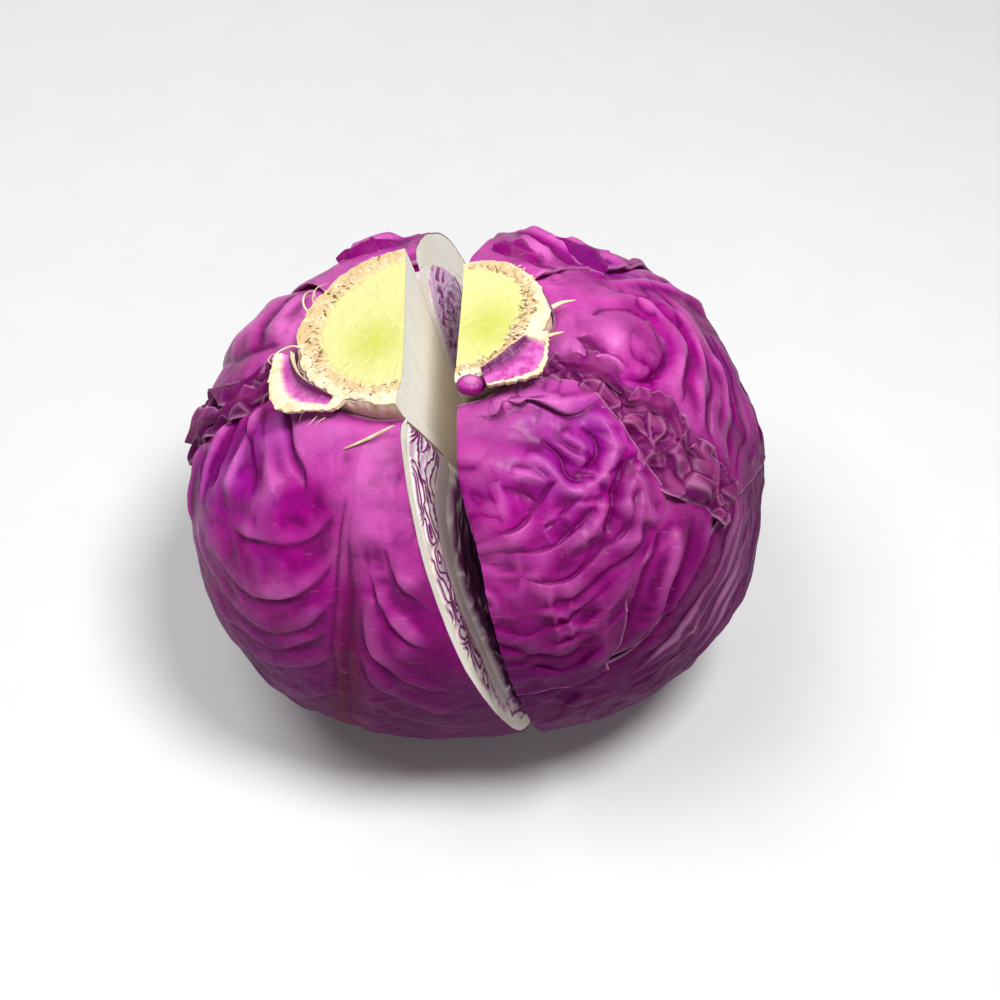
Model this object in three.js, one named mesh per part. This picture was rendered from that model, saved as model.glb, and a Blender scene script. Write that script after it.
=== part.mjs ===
// A red cabbage standing on its crown with the stem up, cut in two through the stem.
// The two halves still stand together, a little apart at the top, and lean to one side.
// Millimetres, +Z up, the origin under the middle of the head, on the surface it rests on.
//
// Each half is described in its own frame: Z along the stem and the cut face on X = 0.
// A place on the head is a pair of angles in degrees: down from the stem, 0 to 180, and
// round the half, 0 at the front cut edge to 180 at the back one.

import * as THREE from 'three';
import { mergeVertices } from 'three/addons/utils/BufferGeometryUtils.js';

// The head: half its depth and height, and how square its outline is (2 is an ellipse).
const HALF_DEPTH = 70;
const HALF_HEIGHT = 67.5;
const SQUARENESS = 2.35;

// The two halves: sideways reach, lean, turn and the place of their cut faces.
const LEFT = { sign: -1, reach: 85, lean: -18, turn: 0, shift: 1.5 };
const RIGHT = { sign: 1, reach: 71, lean: -12.5, turn: -3, shift: 10 };

// The surface it rests on: what lies lower than FLAT_BELOW is pressed flat.
const CENTRE_HEIGHT = 70.2;
const FLAT_BELOW = 3;
const PRESSED_BELOW = 9;

// At the front the left half's cut edge draws back from the other half, most at the outside.
const DRAW_BACK = 2.9;
const DRAW_BACK_FROM = [16, 34];
const DRAW_BACK_REACH = 26;

// Leaves: thick at the stem, thinner at the crown, with a gap to what lies under them.
const LEAF_THICK_AT_STEM = 4;
const LEAF_THICK_AT_CROWN = 2.4;
const THINNEST_BLADE = 1;
const UNDER_LEAF_GAP = 0.6;
const SIDE_GAP = 0.45;
const FOLD_DEPTH = 1.25;

// The stem: a round butt on a core that narrows to a point inside the head.
const BUTT_TOP = 69.5;
const CORE_POINT = -6;
const CORE_GAP = 0.5;
const BUTT_DISH = 1.2;
const BUTT_RING = 0.78;
const CORE_PROFILE = [[-6, 0], [2, 7], [10, 10], [27, 15], [42, 20], [54, 24], [60, 26], [66, 27]];
const CORE_BACK_SWELL = 0.1;
const BUTT_FLARE = [52, 66];
LEFT.butt = [[0, 27.3], [22, 26.6], [45, 27.8], [70, 30], [95, 31.2], [150, 31.2], [180, 29.4]];
RIGHT.butt = [[0, 22.8], [65, 22.6], [86, 25], [100, 24.2], [137, 23.3], [160, 22.2], [180, 20.6]];
LEFT.rim = [[0, 24.6], [60, 25.6], [95, 27.6], [180, 28.6]];
RIGHT.rim = [[0, 22], [86, 22.6], [180, 23]];

const COLOUR = {
  leaf: 0xa3128f, leafSide: 0x9a1086, leafLow: 0x6d0a5c, torn: 0x7b3f72,
  heart: 0xd9c9d6, stem: 0xe9e6a4, stub: 0xe8dcc0, bud: 0x9a4fa0,
};

const rad = THREE.MathUtils.degToRad;
const { lerp, smoothstep } = THREE.MathUtils;
const bell = (x) => Math.exp(-x * x);
const hill = (x, y) => Math.exp(-x * x - y * y);

// A smooth curve through [x, y] points, level beyond its ends.
function curve(points, x) {
  const last = points.length - 1;
  if (x <= points[0][0]) return points[0][1];
  if (x >= points[last][0]) return points[last][1];
  let i = 0;
  while (points[i + 1][0] < x) i += 1;
  const slope = (k) => (points[k + 1][1] - points[k][1]) / (points[k + 1][0] - points[k][0]);
  const middle = slope(i);
  const before = i > 0 ? (middle + slope(i - 1)) / 2 : middle;
  const after = i < last - 1 ? (middle + slope(i + 1)) / 2 : middle;
  const span = points[i + 1][0] - points[i][0];
  const t = (x - points[i][0]) / span;
  const t2 = t * t;
  const t3 = t2 * t;
  return (2 * t3 - 3 * t2 + 1) * points[i][1] + (t3 - 2 * t2 + t) * span * before
    + (3 * t2 - 2 * t3) * points[i + 1][1] + (t3 - t2) * span * after;
}

// A point of the head, `out` millimetres outside its plain round shape.
function headPoint(half, down, round, out) {
  const a = rad(down);
  const b = rad(round);
  const level = Math.sin(a);
  const way = new THREE.Vector3(half.sign * level * Math.sin(b), -level * Math.cos(b), Math.cos(a));
  const sum = Math.abs(way.x / half.reach) ** SQUARENESS
    + Math.abs(way.y / HALF_DEPTH) ** SQUARENESS
    + Math.abs(way.z / HALF_HEIGHT) ** SQUARENESS;
  way.multiplyScalar(sum ** (-1 / SQUARENESS) + out);
  if (round <= 0 || round >= 180) way.x = 0;
  return way;
}

// Where the head swells beyond its plain shape or falls short of it.
function swell(half, down, round) {
  if (half === RIGHT) {
    return -4.2 * hill((down - 106) / 24, (round - 34) / 32)
      - 6.6 * hill((down - 44) / 18, (round - 138) / 24)
      - 2.6 * hill((down - 64) / 16, (round - 108) / 20)
      + 1.8 * hill((down - 94) / 12, (round - 92) / 14)
      - 1.4 * hill((down - 92) / 12, (round - 64) / 14);
  }
  return -0.8 * hill((down - 72) / 14, (round - 74) / 14)
    + 1.2 * hill((down - 50) / 18, (round - 116) / 26)
    + 2 * hill((down - 36) / 12, (round - 156) / 18)
    - 2 * hill((down - 110) / 16, (round - 12) / 24)
    + backRib(down, round) * 0.25;
}

// The thick midrib of the left half's back leaf, cut lengthwise.
function backRib(down, round) {
  return 7 * bell((round - 180) / 24) * bell((down - 78) / 28);
}

function ribPocket(half, down, round) {
  return half === LEFT ? 4 * bell((round - 180) / 15) * bell((down - 52) / 15) : 0;
}

function leafThickness(down) {
  return lerp(LEAF_THICK_AT_STEM, LEAF_THICK_AT_CROWN, smoothstep(down, 30, 105));
}

// What lies low is pressed onto the surface.
function press(z) {
  if (z <= FLAT_BELOW) return 0;
  if (z >= PRESSED_BELOW) return z;
  const t = (z - FLAT_BELOW) / (PRESSED_BELOW - FLAT_BELOW);
  const end = (PRESSED_BELOW - FLAT_BELOW) / PRESSED_BELOW;
  return PRESSED_BELOW * ((3 - end) * t * t + (end - 2) * t * t * t);
}

function drawnBack(half, point) {
  if (half !== LEFT) return 0;
  return DRAW_BACK * smoothstep(-point.y, ...DRAW_BACK_FROM) * Math.exp(point.x / DRAW_BACK_REACH);
}

// From a half's own frame to the standing head.
function stand(half, point) {
  const placed = point.clone();
  placed.x -= drawnBack(half, point);
  placed.applyAxisAngle(new THREE.Vector3(0, 1, 0), rad(half.lean));
  placed.applyAxisAngle(new THREE.Vector3(0, 0, 1), rad(half.turn));
  placed.x += half.shift;
  placed.z = press(placed.z + CENTRE_HEIGHT);
  return placed;
}

// Folds of the leaves. `ridge` is a rounded ridge, or a groove where rise is negative;
// `step` is a pouch that hangs over a crease, on the given side of its line.
function foldHeight(half, fold, down, round) {
  const here = headPoint(half, down, round, 0);
  let nearest = Infinity;
  let side = 1;
  for (let i = 0; i + 1 < fold.line.length; i += 1) {
    const [aDown, aRound] = fold.line[i];
    const [bDown, bRound] = fold.line[i + 1];
    const a = headPoint(half, aDown, aRound, 0);
    const b = headPoint(half, bDown, bRound, 0);
    const segment = new THREE.Line3(a, b);
    const reach = segment.closestPointToPoint(here, true, new THREE.Vector3()).distanceTo(here);
    if (reach < nearest) {
      nearest = reach;
      side = Math.sign((bDown - aDown) * (round - aRound) - (bRound - aRound) * (down - aDown)) || 1;
    }
  }
  if (fold.kind === 'ridge') return FOLD_DEPTH * fold.rise * bell(nearest / fold.width);
  const across = nearest * side * fold.side;
  return FOLD_DEPTH * fold.rise * Math.tanh(across / fold.edge) * Math.exp(-nearest / fold.width);
}

const ridge = (rise, width, line) => ({ kind: 'ridge', rise, width, line });
const pouch = (rise, width, line, side = -1) => ({ kind: 'step', rise, width, line, side, edge: 1.2 });
const dome = (rise, width, down, round) => ridge(rise, width, [[down, round], [down + 0.5, round]]);

const LEFT_FRONT_FOLDS = [
  ridge(1.1, 6, [[25, 18], [38, 17.5], [52, 19]]),
  ridge(-1.7, 3.2, [[60, 20.5], [70, 23], [80, 26.5], [99, 34.5], [112, 40]]),
  dome(1.6, 9, 33, 44),
  ridge(-2.6, 2, [[31, 66], [32.5, 56], [35, 46], [39.4, 36.5]]),
  ridge(1.7, 3.2, [[35, 66], [38, 54], [41, 43]]),
  ridge(-1.7, 2.6, [[40.9, 76], [41.9, 66.5], [44.4, 57], [46.4, 53]]),
  ridge(1.6, 2.6, [[44, 77], [45, 69], [47.5, 60], [50, 55]]),
  ridge(-1.6, 2.4, [[49.9, 80], [48.3, 70.5], [50.5, 61], [54, 56]]),
  ridge(-1.4, 2.6, [[56.3, 75.5], [57.8, 69.5], [62, 62]]),
  pouch(1.9, 7, [[53.8, 56.5], [53.8, 51], [53.3, 45.5], [52.4, 40], [48.4, 31], [43.4, 26]]),
  pouch(1.8, 7, [[63.3, 55], [64.3, 49], [64, 43], [61.3, 34], [55.3, 26.5]]),
  pouch(1.6, 7, [[70.3, 57], [71.3, 50], [72.3, 42.5], [69.3, 33.5], [62.8, 25.5]]),
  pouch(1.5, 6.5, [[76.8, 56], [77.8, 49], [76.3, 40.5], [71.3, 30], [68.3, 26.5]]),
  pouch(1.4, 6.5, [[88.7, 61], [85.3, 52], [82.8, 41], [78.8, 31.5]]),
  pouch(1.2, 6, [[98, 56], [97.5, 47], [92.2, 37.5], [87.8, 32.5]]),
  pouch(1.3, 5, [[61, 74], [67.3, 64], [70.8, 52.5]]),
  pouch(1.2, 5, [[69.8, 70], [74.8, 60.5], [83.8, 50]]),
  pouch(1.2, 5, [[49.4, 9], [54.3, 9], [59.8, 7.5], [64.8, 2.5]]),
  pouch(1.5, 5, [[56.8, 14.5], [64.8, 13], [68.8, 10.5], [74.8, 5]]),
  pouch(1.5, 6, [[62.3, 18], [73.8, 18.5], [83.8, 14.5], [90.7, 6]]),
  pouch(1.3, 6, [[75.3, 21.5], [87.3, 20.5], [97.7, 14], [102, 7]]),
];

const LEFT_SIDE_FOLDS = [
  ridge(1.4, 6, [[28, 112], [45, 116], [70, 118], [100, 118]]),
  ridge(-1.2, 4, [[30, 104], [45, 107], [60, 112]]),
  pouch(1.2, 6, [[46, 132], [56, 128], [62, 120]]),
  pouch(1.2, 6, [[70, 134], [80, 130], [86, 121]]),
  pouch(1.2, 6, [[76, 102], [84, 108], [90, 116]]),
];

const LEFT_BACK_FOLDS = [
  ridge(3.2, 4, [[31, 150], [34, 142]]),
  ridge(-2, 3, [[38, 160], [44, 150], [52, 146]]),
  ridge(1.8, 4, [[60, 150], [75, 158], [95, 160]]),
  pouch(1.4, 6, [[84, 146], [96, 152], [104, 164]]),
];

const RIGHT_FRONT_FOLDS = [
  ridge(3, 2.6, [[26.6, 14], [26.4, 22], [27.4, 31], [30, 38], [33, 46], [34, 53]]),
  ridge(-2, 2.4, [[32, 12], [32, 24], [33, 33], [36, 41]]),
  dome(1.8, 8, 38, 10),
  ridge(1.8, 2.4, [[36, 47], [41, 49], [46, 45], [47, 38]]),
  ridge(-2, 2, [[38, 42], [41, 44], [43, 40], [41, 35]]),
  ridge(1.5, 2.2, [[40, 30], [45, 31], [48, 36]]),
  pouch(1.5, 5, [[44, 24], [48, 20], [51, 12], [50, 4]], 1),
  pouch(1.5, 5, [[52, 34], [55, 26], [56, 14], [55, 4]], 1),
  pouch(1.6, 5, [[58, 38], [62, 28], [62, 18], [60, 8]], 1),
  ridge(-2.2, 2.2, [[48.9, 47.5], [52.4, 41], [56.8, 34.5], [59, 31]]),
  ridge(-1.4, 2.4, [[62, 30], [66, 22], [67, 10]]),
  pouch(1.4, 5, [[70, 27], [74, 18], [74, 4]], 1),
  ridge(-1.3, 2.6, [[78, 24], [80, 14], [79, 4]]),
  pouch(1.2, 5, [[85, 22], [86, 12], [85, 3]], 1),
  ridge(2, 3, [[53, 47], [58, 45], [61, 40]]),
  ridge(1.6, 3.5, [[64, 36], [72, 27], [84, 24]]),
];

const RIGHT_FOLD_FOLDS = [
  ridge(1.9, 2.6, [[66, 50], [72, 43], [78, 38], [86, 32]]),
  ridge(-1.5, 2.2, [[70, 52], [76, 45], [82, 39], [90, 30]]),
];

const RIGHT_SIDE_FOLDS = [
  dome(3.4, 7.5, 34.5, 83),
  ridge(-2.4, 2.6, [[29.9, 95.5], [35, 98], [41, 97], [44, 90], [44.4, 84], [43, 76]]),
  ridge(1.8, 3, [[34, 105], [42, 104], [47, 97], [49, 88], [48, 76]]),
  ridge(-1.8, 2.6, [[37.9, 113], [43.4, 108], [49.9, 103], [53, 95], [53, 88], [50, 77]]),
  ridge(1.7, 3, [[48, 113], [55, 104], [58, 94], [57, 84], [58, 76]]),
  ridge(-1.7, 2.6, [[62.3, 94], [61, 84], [62, 77], [67, 71]]),
  ridge(1.6, 3, [[68, 96], [66, 84], [68, 76], [73, 70]]),
  ridge(-1.5, 2.6, [[77, 94], [73, 80], [76, 71]]),
  ridge(1.4, 3, [[82, 92], [80, 80]]),
  ridge(1.6, 3.2, [[27, 72], [30, 79]]),
];

const RIGHT_LOW_FOLDS = [
  pouch(1.7, 6, [[80, 68], [84.3, 63], [89.7, 53], [94.2, 44], [99.2, 35], [102, 26]], 1),
  pouch(1.3, 6, [[92, 76], [98, 62], [104, 50], [110, 38]], 1),
  ridge(1.4, 5, [[102, 90], [112, 70], [122, 52]]),
  ridge(1.2, 5, [[112, 118], [122, 96], [132, 80]]),
];

const RIGHT_BACK_FOLDS = [
  ridge(3.6, 4, [[32, 143], [33, 155], [32, 170]]),
  ridge(-2.2, 3, [[40, 142], [42, 156], [44, 172]]),
  ridge(1.8, 4, [[58, 158], [78, 160], [100, 158]]),
  pouch(1.4, 6, [[86, 146], [96, 150], [104, 158]]),
];

// Crumples along a torn edge.
function crumple(down, round) {
  return 1.1 * Math.sin(down * 0.62 + 1.3 * Math.sin(round * 0.4))
    + 0.8 * Math.sin(round * 1.1 + down * 0.31);
}

// The borders between neighbouring leaves, as round angles along the down angle.
const LEFT_HEM_LOWER = [
  [24, 83], [30, 80.5], [35, 79], [40, 80], [45, 82], [52, 85], [60, 89], [70, 93], [86, 97],
  [150, 101],
];
const LEFT_HEM_UPPER = [
  [24, 98], [31, 95], [36, 93], [42, 94.5], [50, 98.5], [59, 103], [70, 103.5], [86, 99.6],
  [150, 104],
];
const LEFT_BACK_BORDER = [[24, 136], [60, 140], [100, 142], [150, 140]];
const RIGHT_FRONT_BORDER = [
  [24, 45], [31, 54], [36, 55], [41, 53], [52, 50], [58, 49.5], [61.5, 47], [64.8, 40.5],
  [68, 34], [72, 31], [81, 28], [87, 25.5], [91, 22],
];
const RIGHT_TORN_LEFT = [
  [24, 46.5], [31, 55.5], [36, 56.5], [41, 54.5], [52, 51.5], [58, 51.5], [62, 54], [66, 57],
  [70, 59.5], [76, 61],
];
const RIGHT_TORN_RIGHT = [[24, 61], [31, 64], [41, 66], [47, 68], [58, 67], [68, 68], [76, 67]];
const RIGHT_FOLD_RIGHT = [
  [62, 52], [66, 55.2], [70, 57.6], [74, 57], [76.3, 54.5], [81.3, 45], [87.3, 36.5], [92, 29.5],
];
const RIGHT_BACK_BORDER = [[24, 134], [60, 138], [100, 140], [150, 138]];

// The upper and lower borders of the leaves, as down angles along the round angle.
const LEFT_UNDER_STEM = [[0, 25.5], [45, 25.8], [70, 27.2], [95, 28.8], [180, 30.2]];
const RIGHT_UNDER_STEM = [[0, 24], [60, 23.4], [86, 25], [110, 24.2], [180, 24.6]];
const LEFT_LOWER_EDGE = [
  [0, 148], [18, 150], [40, 141], [60, 130], [75, 120], [90, 116], [105, 119], [125, 131],
  [150, 143], [180, 147],
];
const RIGHT_FRONT_LOWER = [[0, 95], [8, 94.6], [14, 95], [22, 93.4]];
const RIGHT_LOW_UPPER = [
  [0, 96.4], [14, 96.4], [22, 95.2], [29.5, 93.6], [36.5, 89], [45, 83], [54.5, 78.5], [61, 77.6],
  [70, 79], [80, 85], [90, 92], [110, 104], [135, 112],
];
const RIGHT_LOWER_EDGE = [[0, 148], [30, 145], [70, 149], [110, 144], [150, 148], [180, 147]];

const shifted = (points, by) => points.map(([x, y]) => [x, y + by]);

const LEAVES = [
  {
    name: 'left_leaf_front', half: LEFT, cells: [28, 20], colour: COLOUR.leaf, folds: LEFT_FRONT_FOLDS,
    sides: [[[0, 0]], LEFT_HEM_LOWER], ends: [LEFT_UNDER_STEM, LEFT_LOWER_EDGE],
    lift: () => 0,
  },
  {
    name: 'left_torn_rim', half: LEFT, cells: [16, 4], colour: COLOUR.torn, folds: [],
    sides: [LEFT_HEM_LOWER, LEFT_HEM_UPPER], ends: [[[0, 28]], [[0, 80]]],
    lift: (down, round) => lerp(1.8, 0.2, smoothstep(down, 48, 70)) + crumple(down, round) * 0.8,
  },
  {
    name: 'left_leaf_side', half: LEFT, cells: [16, 9], colour: COLOUR.leafSide, folds: LEFT_SIDE_FOLDS,
    sides: [LEFT_HEM_UPPER, LEFT_BACK_BORDER], ends: [LEFT_UNDER_STEM, LEFT_LOWER_EDGE],
    lift: () => -0.6,
  },
  {
    name: 'left_leaf_back', half: LEFT, cells: [16, 8], colour: COLOUR.leafSide, folds: LEFT_BACK_FOLDS,
    sides: [LEFT_BACK_BORDER, [[0, 180]]], ends: [LEFT_UNDER_STEM, LEFT_LOWER_EDGE],
    lift: (down, round) => 0.3 + backRib(down, round) * 0.75,
  },
  {
    name: 'right_leaf_front', half: RIGHT, cells: [20, 15], colour: COLOUR.leaf, folds: RIGHT_FRONT_FOLDS,
    sides: [[[0, 0]], RIGHT_FRONT_BORDER], ends: [RIGHT_UNDER_STEM, RIGHT_FRONT_LOWER],
    lift: () => 0.6,
  },
  {
    name: 'right_torn_rim', half: RIGHT, cells: [17, 4], colour: COLOUR.torn, folds: [],
    sides: [RIGHT_TORN_LEFT, RIGHT_TORN_RIGHT], ends: [[[0, 27]], [[0, 75]]],
    lift: (down, round) => 0.9 + crumple(down, round),
  },
  {
    name: 'right_leaf_fold', half: RIGHT, cells: [11, 4], colour: COLOUR.leafSide, folds: RIGHT_FOLD_FOLDS,
    sides: [shifted(RIGHT_FRONT_BORDER, 1.4), RIGHT_FOLD_RIGHT], ends: [[[0, 64]], [[0, 91.5]]],
    lift: () => 0.2,
  },
  {
    name: 'right_leaf_low', half: RIGHT, cells: [11, 20], colour: COLOUR.leafLow, folds: RIGHT_LOW_FOLDS,
    sides: [[[0, 0]], [[0, 138]]], ends: [RIGHT_LOW_UPPER, RIGHT_LOWER_EDGE],
    lift: () => -0.4,
  },
  {
    name: 'right_leaf_side', half: RIGHT, cells: [18, 15], colour: COLOUR.leaf, folds: RIGHT_SIDE_FOLDS,
    sides: [shifted(RIGHT_TORN_RIGHT, 1.3), RIGHT_BACK_BORDER],
    ends: [RIGHT_UNDER_STEM, shifted(RIGHT_LOW_UPPER, -1.6)],
    lift: () => 0.3,
  },
  {
    name: 'right_leaf_back', half: RIGHT, cells: [14, 8], colour: COLOUR.leafSide, folds: RIGHT_BACK_FOLDS,
    sides: [shifted(RIGHT_BACK_BORDER, 1.4), [[0, 180]]], ends: [RIGHT_UNDER_STEM, RIGHT_LOWER_EDGE],
    lift: () => 0.5,
  },
];

// One closed mesh from lists of points and faces.
function solid(name, points, faces, colour, roughness) {
  const geometry = new THREE.BufferGeometry();
  const places = points.flatMap((p) => p.toArray());
  geometry.setAttribute('position', new THREE.Float32BufferAttribute(places, 3));
  geometry.setIndex(faces.flat());
  geometry.computeVertexNormals();
  const material = new THREE.MeshStandardMaterial({ color: colour, roughness, metalness: 0 });
  const mesh = new THREE.Mesh(geometry, material);
  mesh.name = name;
  return mesh;
}

// The faces of a grid of rows and columns, of which `at` gives the point numbers.
function gridFaces(rows, columns, at, flip) {
  const faces = [];
  for (let i = 0; i < rows; i += 1) {
    for (let j = 0; j < columns; j += 1) {
      const [a, b, c, d] = [at(i, j), at(i + 1, j), at(i + 1, j + 1), at(i, j + 1)];
      if (flip) faces.push([a, c, b], [a, d, c]);
      else faces.push([a, b, c], [a, c, d]);
    }
  }
  return faces;
}

// A plate over a grid: an outer and an inner face, closed all round.
function plate(name, rows, columns, outer, inner, colour, flip) {
  const points = [];
  for (const face of [outer, inner]) {
    for (let i = 0; i <= rows; i += 1) {
      for (let j = 0; j <= columns; j += 1) points.push(face(i / rows, j / columns));
    }
  }
  const size = (rows + 1) * (columns + 1);
  const top = (i, j) => i * (columns + 1) + j;
  const bottom = (i, j) => size + top(i, j);
  const faces = [...gridFaces(rows, columns, top, flip), ...gridFaces(rows, columns, bottom, !flip)];
  const rim = [];
  for (let i = 0; i < rows; i += 1) rim.push([i, 0]);
  for (let j = 0; j < columns; j += 1) rim.push([rows, j]);
  for (let i = rows; i > 0; i -= 1) rim.push([i, columns]);
  for (let j = columns; j > 0; j -= 1) rim.push([0, j]);
  rim.forEach(([i, j], k) => {
    const [ni, nj] = rim[(k + 1) % rim.length];
    const [a, b, c, d] = [top(i, j), top(ni, nj), bottom(ni, nj), bottom(i, j)];
    if (flip) faces.push([a, b, c], [a, c, d]);
    else faces.push([a, c, b], [a, d, c]);
  });
  return solid(name, points, faces, colour, 0.45);
}

function onLeaf(leaf, v, u) {
  const [firstSide, lastSide] = leaf.sides;
  const [upper, lower] = leaf.ends;
  let round = lerp(curve(firstSide, 60), curve(lastSide, 60), u);
  let down = 60;
  for (let pass = 0; pass < 8; pass += 1) {
    down = lerp(curve(upper, round), curve(lower, round), v);
    const gap = THREE.MathUtils.radToDeg(SIDE_GAP / (HALF_HEIGHT * Math.sin(rad(down))));
    const start = curve(firstSide, down);
    const stop = curve(lastSide, down);
    round = lerp(start > 0 ? start + gap : 0, stop < 180 ? stop - gap : 180, u);
  }
  return [down, round];
}

function makeLeaf(leaf) {
  const place = (v, u, outside) => {
    const [down, round] = onLeaf(leaf, v, u);
    const thick = leafThickness(down);
    const under = swell(leaf.half, down, round) - thick - ribPocket(leaf.half, down, round);
    if (!outside) return stand(leaf.half, headPoint(leaf.half, down, round, under));
    const folds = leaf.folds.reduce((sum, fold) => sum + foldHeight(leaf.half, fold, down, round), 0);
    const edge = 1 - 0.3 * smoothstep(v, 0.9, 1);
    const out = Math.max((thick + leaf.lift(down, round) + folds) * edge, THINNEST_BLADE);
    return stand(leaf.half, headPoint(leaf.half, down, round, swell(leaf.half, down, round) - thick + out));
  };
  const [rows, columns] = leaf.cells;
  const flip = leaf.half === LEFT;
  const outer = (v, u) => place(v, u, true);
  const inner = (v, u) => place(v, u, false);
  return plate(leaf.name, rows, columns, outer, inner, leaf.colour, flip);
}

// The radius of the core at a height: it swells to the back, and flares to the butt.
function coreRadius(half, z, round) {
  const slender = curve(half.butt, 0) / LEFT.butt[0][1];
  const swollen = slender * (1 + (CORE_BACK_SWELL * (1 - Math.cos(rad(round)))) / 2);
  const flared = curve(half.butt, round) / curve(CORE_PROFILE, BUTT_FLARE[1]);
  return curve(CORE_PROFILE, z) * lerp(swollen, flared, smoothstep(z, ...BUTT_FLARE));
}

function corePoint(half, z, round, wider) {
  const r = z <= CORE_POINT ? 0 : coreRadius(half, z, round) + wider;
  const x = round <= 0 || round >= 180 ? 0 : half.sign * r * Math.sin(rad(round));
  return new THREE.Vector3(x, -r * Math.cos(rad(round)), z);
}

// The packed inner leaves of one half, hollowed for the core, with layers on the cut face.
function makeHeart(half, name) {
  const STEPS = 16;
  const AROUND = 14;
  const RINGS = 6;
  const LAYER_DEPTH = 1.1;
  const COVERED_STEPS = 12;
  const PAST_LEAF = 2;
  const STEP_UP = 8;
  const CROWN_SUNK = 0.4;
  const SWAY = 0.035;
  const SWAY_ALONG = 1.9;
  const SWAY_ACROSS = 2.3;
  const POCKET_EASE = 0.9;
  const lowerEdge = half === LEFT ? LEFT_LOWER_EDGE : RIGHT_LOWER_EDGE;
  // Rows run from the rim to just past the leaves' ends, over a step up, and on to the crown.
  const outer = (i, round) => {
    const end = curve(lowerEdge, round);
    const under = i <= COVERED_STEPS;
    const down = under ? lerp(curve(half.rim, round), end + PAST_LEAF, i / COVERED_STEPS)
      : lerp(end + STEP_UP, 180, (i - COVERED_STEPS - 1) / (STEPS - COVERED_STEPS - 1));
    const sunk = leafThickness(down) + UNDER_LEAF_GAP + ribPocket(half, down, round);
    return headPoint(half, down, round, swell(half, down, round) - (under ? sunk : CROWN_SUNK));
  };
  const pocket = (i, round) => {
    const rim = outer(0, round);
    if (i === 0) return rim;
    const z = lerp(rim.z, CORE_POINT - 1, (i / STEPS) ** POCKET_EASE);
    if (i === STEPS) return new THREE.Vector3(0, 0, z);
    return corePoint(half, Math.max(z, CORE_POINT + 0.01), round, CORE_GAP);
  };
  const points = [];
  const faces = [];
  const columns = (j) => (180 * j) / AROUND;
  const addGrid = (rows, across, pointAt, flip) => {
    const first = points.length;
    for (let i = 0; i <= rows; i += 1) {
      for (let j = 0; j <= across; j += 1) points.push(stand(half, pointAt(i, j)));
    }
    faces.push(...gridFaces(rows, across, (i, j) => first + i * (across + 1) + j, flip));
  };
  const flip = half === LEFT;
  addGrid(STEPS, AROUND, (i, j) => outer(i, columns(j)), flip);
  addGrid(STEPS, AROUND, (i, j) => pocket(i, columns(j)), !flip);
  // The cut face runs from the front rim over the crown to the back rim.
  const cut = (k, ring) => {
    const round = k <= STEPS ? 0 : 180;
    const i = k <= STEPS ? k : 2 * STEPS - k;
    const between = ring > 0 && ring < RINGS;
    const sway = between ? SWAY * Math.sin(k * SWAY_ALONG + ring * SWAY_ACROSS) : 0;
    const point = new THREE.Vector3().lerpVectors(outer(i, round), pocket(i, round), ring / RINGS + sway);
    const inside = between && k > 1 && k < 2 * STEPS - 1;
    point.x = inside && ring % 2 === 1 ? half.sign * LAYER_DEPTH : 0;
    return point;
  };
  addGrid(2 * STEPS, RINGS, cut, !flip);
  return solid(name, points, faces, COLOUR.heart, 0.5);
}

// Half of the stem and its core, with a flat cut face and a dished butt.
function makeCore(half, name) {
  const STEPS = 12;
  const AROUND = 14;
  const points = [];
  const faces = [];
  const heightAt = (i) => lerp(BUTT_TOP, CORE_POINT, (i / STEPS) ** 1.1);
  const flip = half === LEFT;
  const addGrid = (rows, across, pointAt, flipped) => {
    const first = points.length;
    for (let i = 0; i <= rows; i += 1) {
      for (let j = 0; j <= across; j += 1) points.push(stand(half, pointAt(i, j)));
    }
    faces.push(...gridFaces(rows, across, (i, j) => first + i * (across + 1) + j, flipped));
  };
  addGrid(STEPS, AROUND, (i, j) => corePoint(half, heightAt(i), (180 * j) / AROUND, 0), flip);
  // The butt: rings from its middle to its rim. The cut face runs from its front half to its back.
  const ring = (i, round, inwards) => {
    const edge = corePoint(half, heightAt(i), round, 0);
    const dish = i === 0 ? BUTT_DISH * (1 - inwards ** 4) : 0;
    return new THREE.Vector3(edge.x * inwards, edge.y * inwards, edge.z - dish);
  };
  const across = [[0, 1], [0, BUTT_RING], [0, 0], [180, BUTT_RING], [180, 1]];
  addGrid(STEPS, 4, (i, j) => ring(i, ...across[j]), !flip);
  addGrid(2, AROUND, (i, j) => ring(0, (180 * j) / AROUND, [0, BUTT_RING, 1][i]), flip);
  return solid(name, points, faces, COLOUR.stem, 0.7);
}

// A cut-off leaf base beside the stem: a thick plate that lifts towards its cut edge.
const STUBS = [
  {
    name: 'left_leaf_stub', half: LEFT, around: [34, 89],
    lowerEdge: [[34, 23.8], [46, 26.4], [59, 29.8], [74, 28.8], [89, 27.4]],
    rise: [[34, 3], [59, 4.6], [89, 3.6]],
  },
  {
    name: 'right_leaf_stub', half: RIGHT, around: [19, 66],
    lowerEdge: [[19, 22], [30, 23.6], [44, 25.4], [55, 23], [66, 20.6]],
    rise: [[19, 3.8], [44, 4.8], [66, 3.6]],
  },
];
const STUB_THICK = 1.6;
const STUB_LIFT = 1.2;
const STEM_GAP = 0.8;

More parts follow.
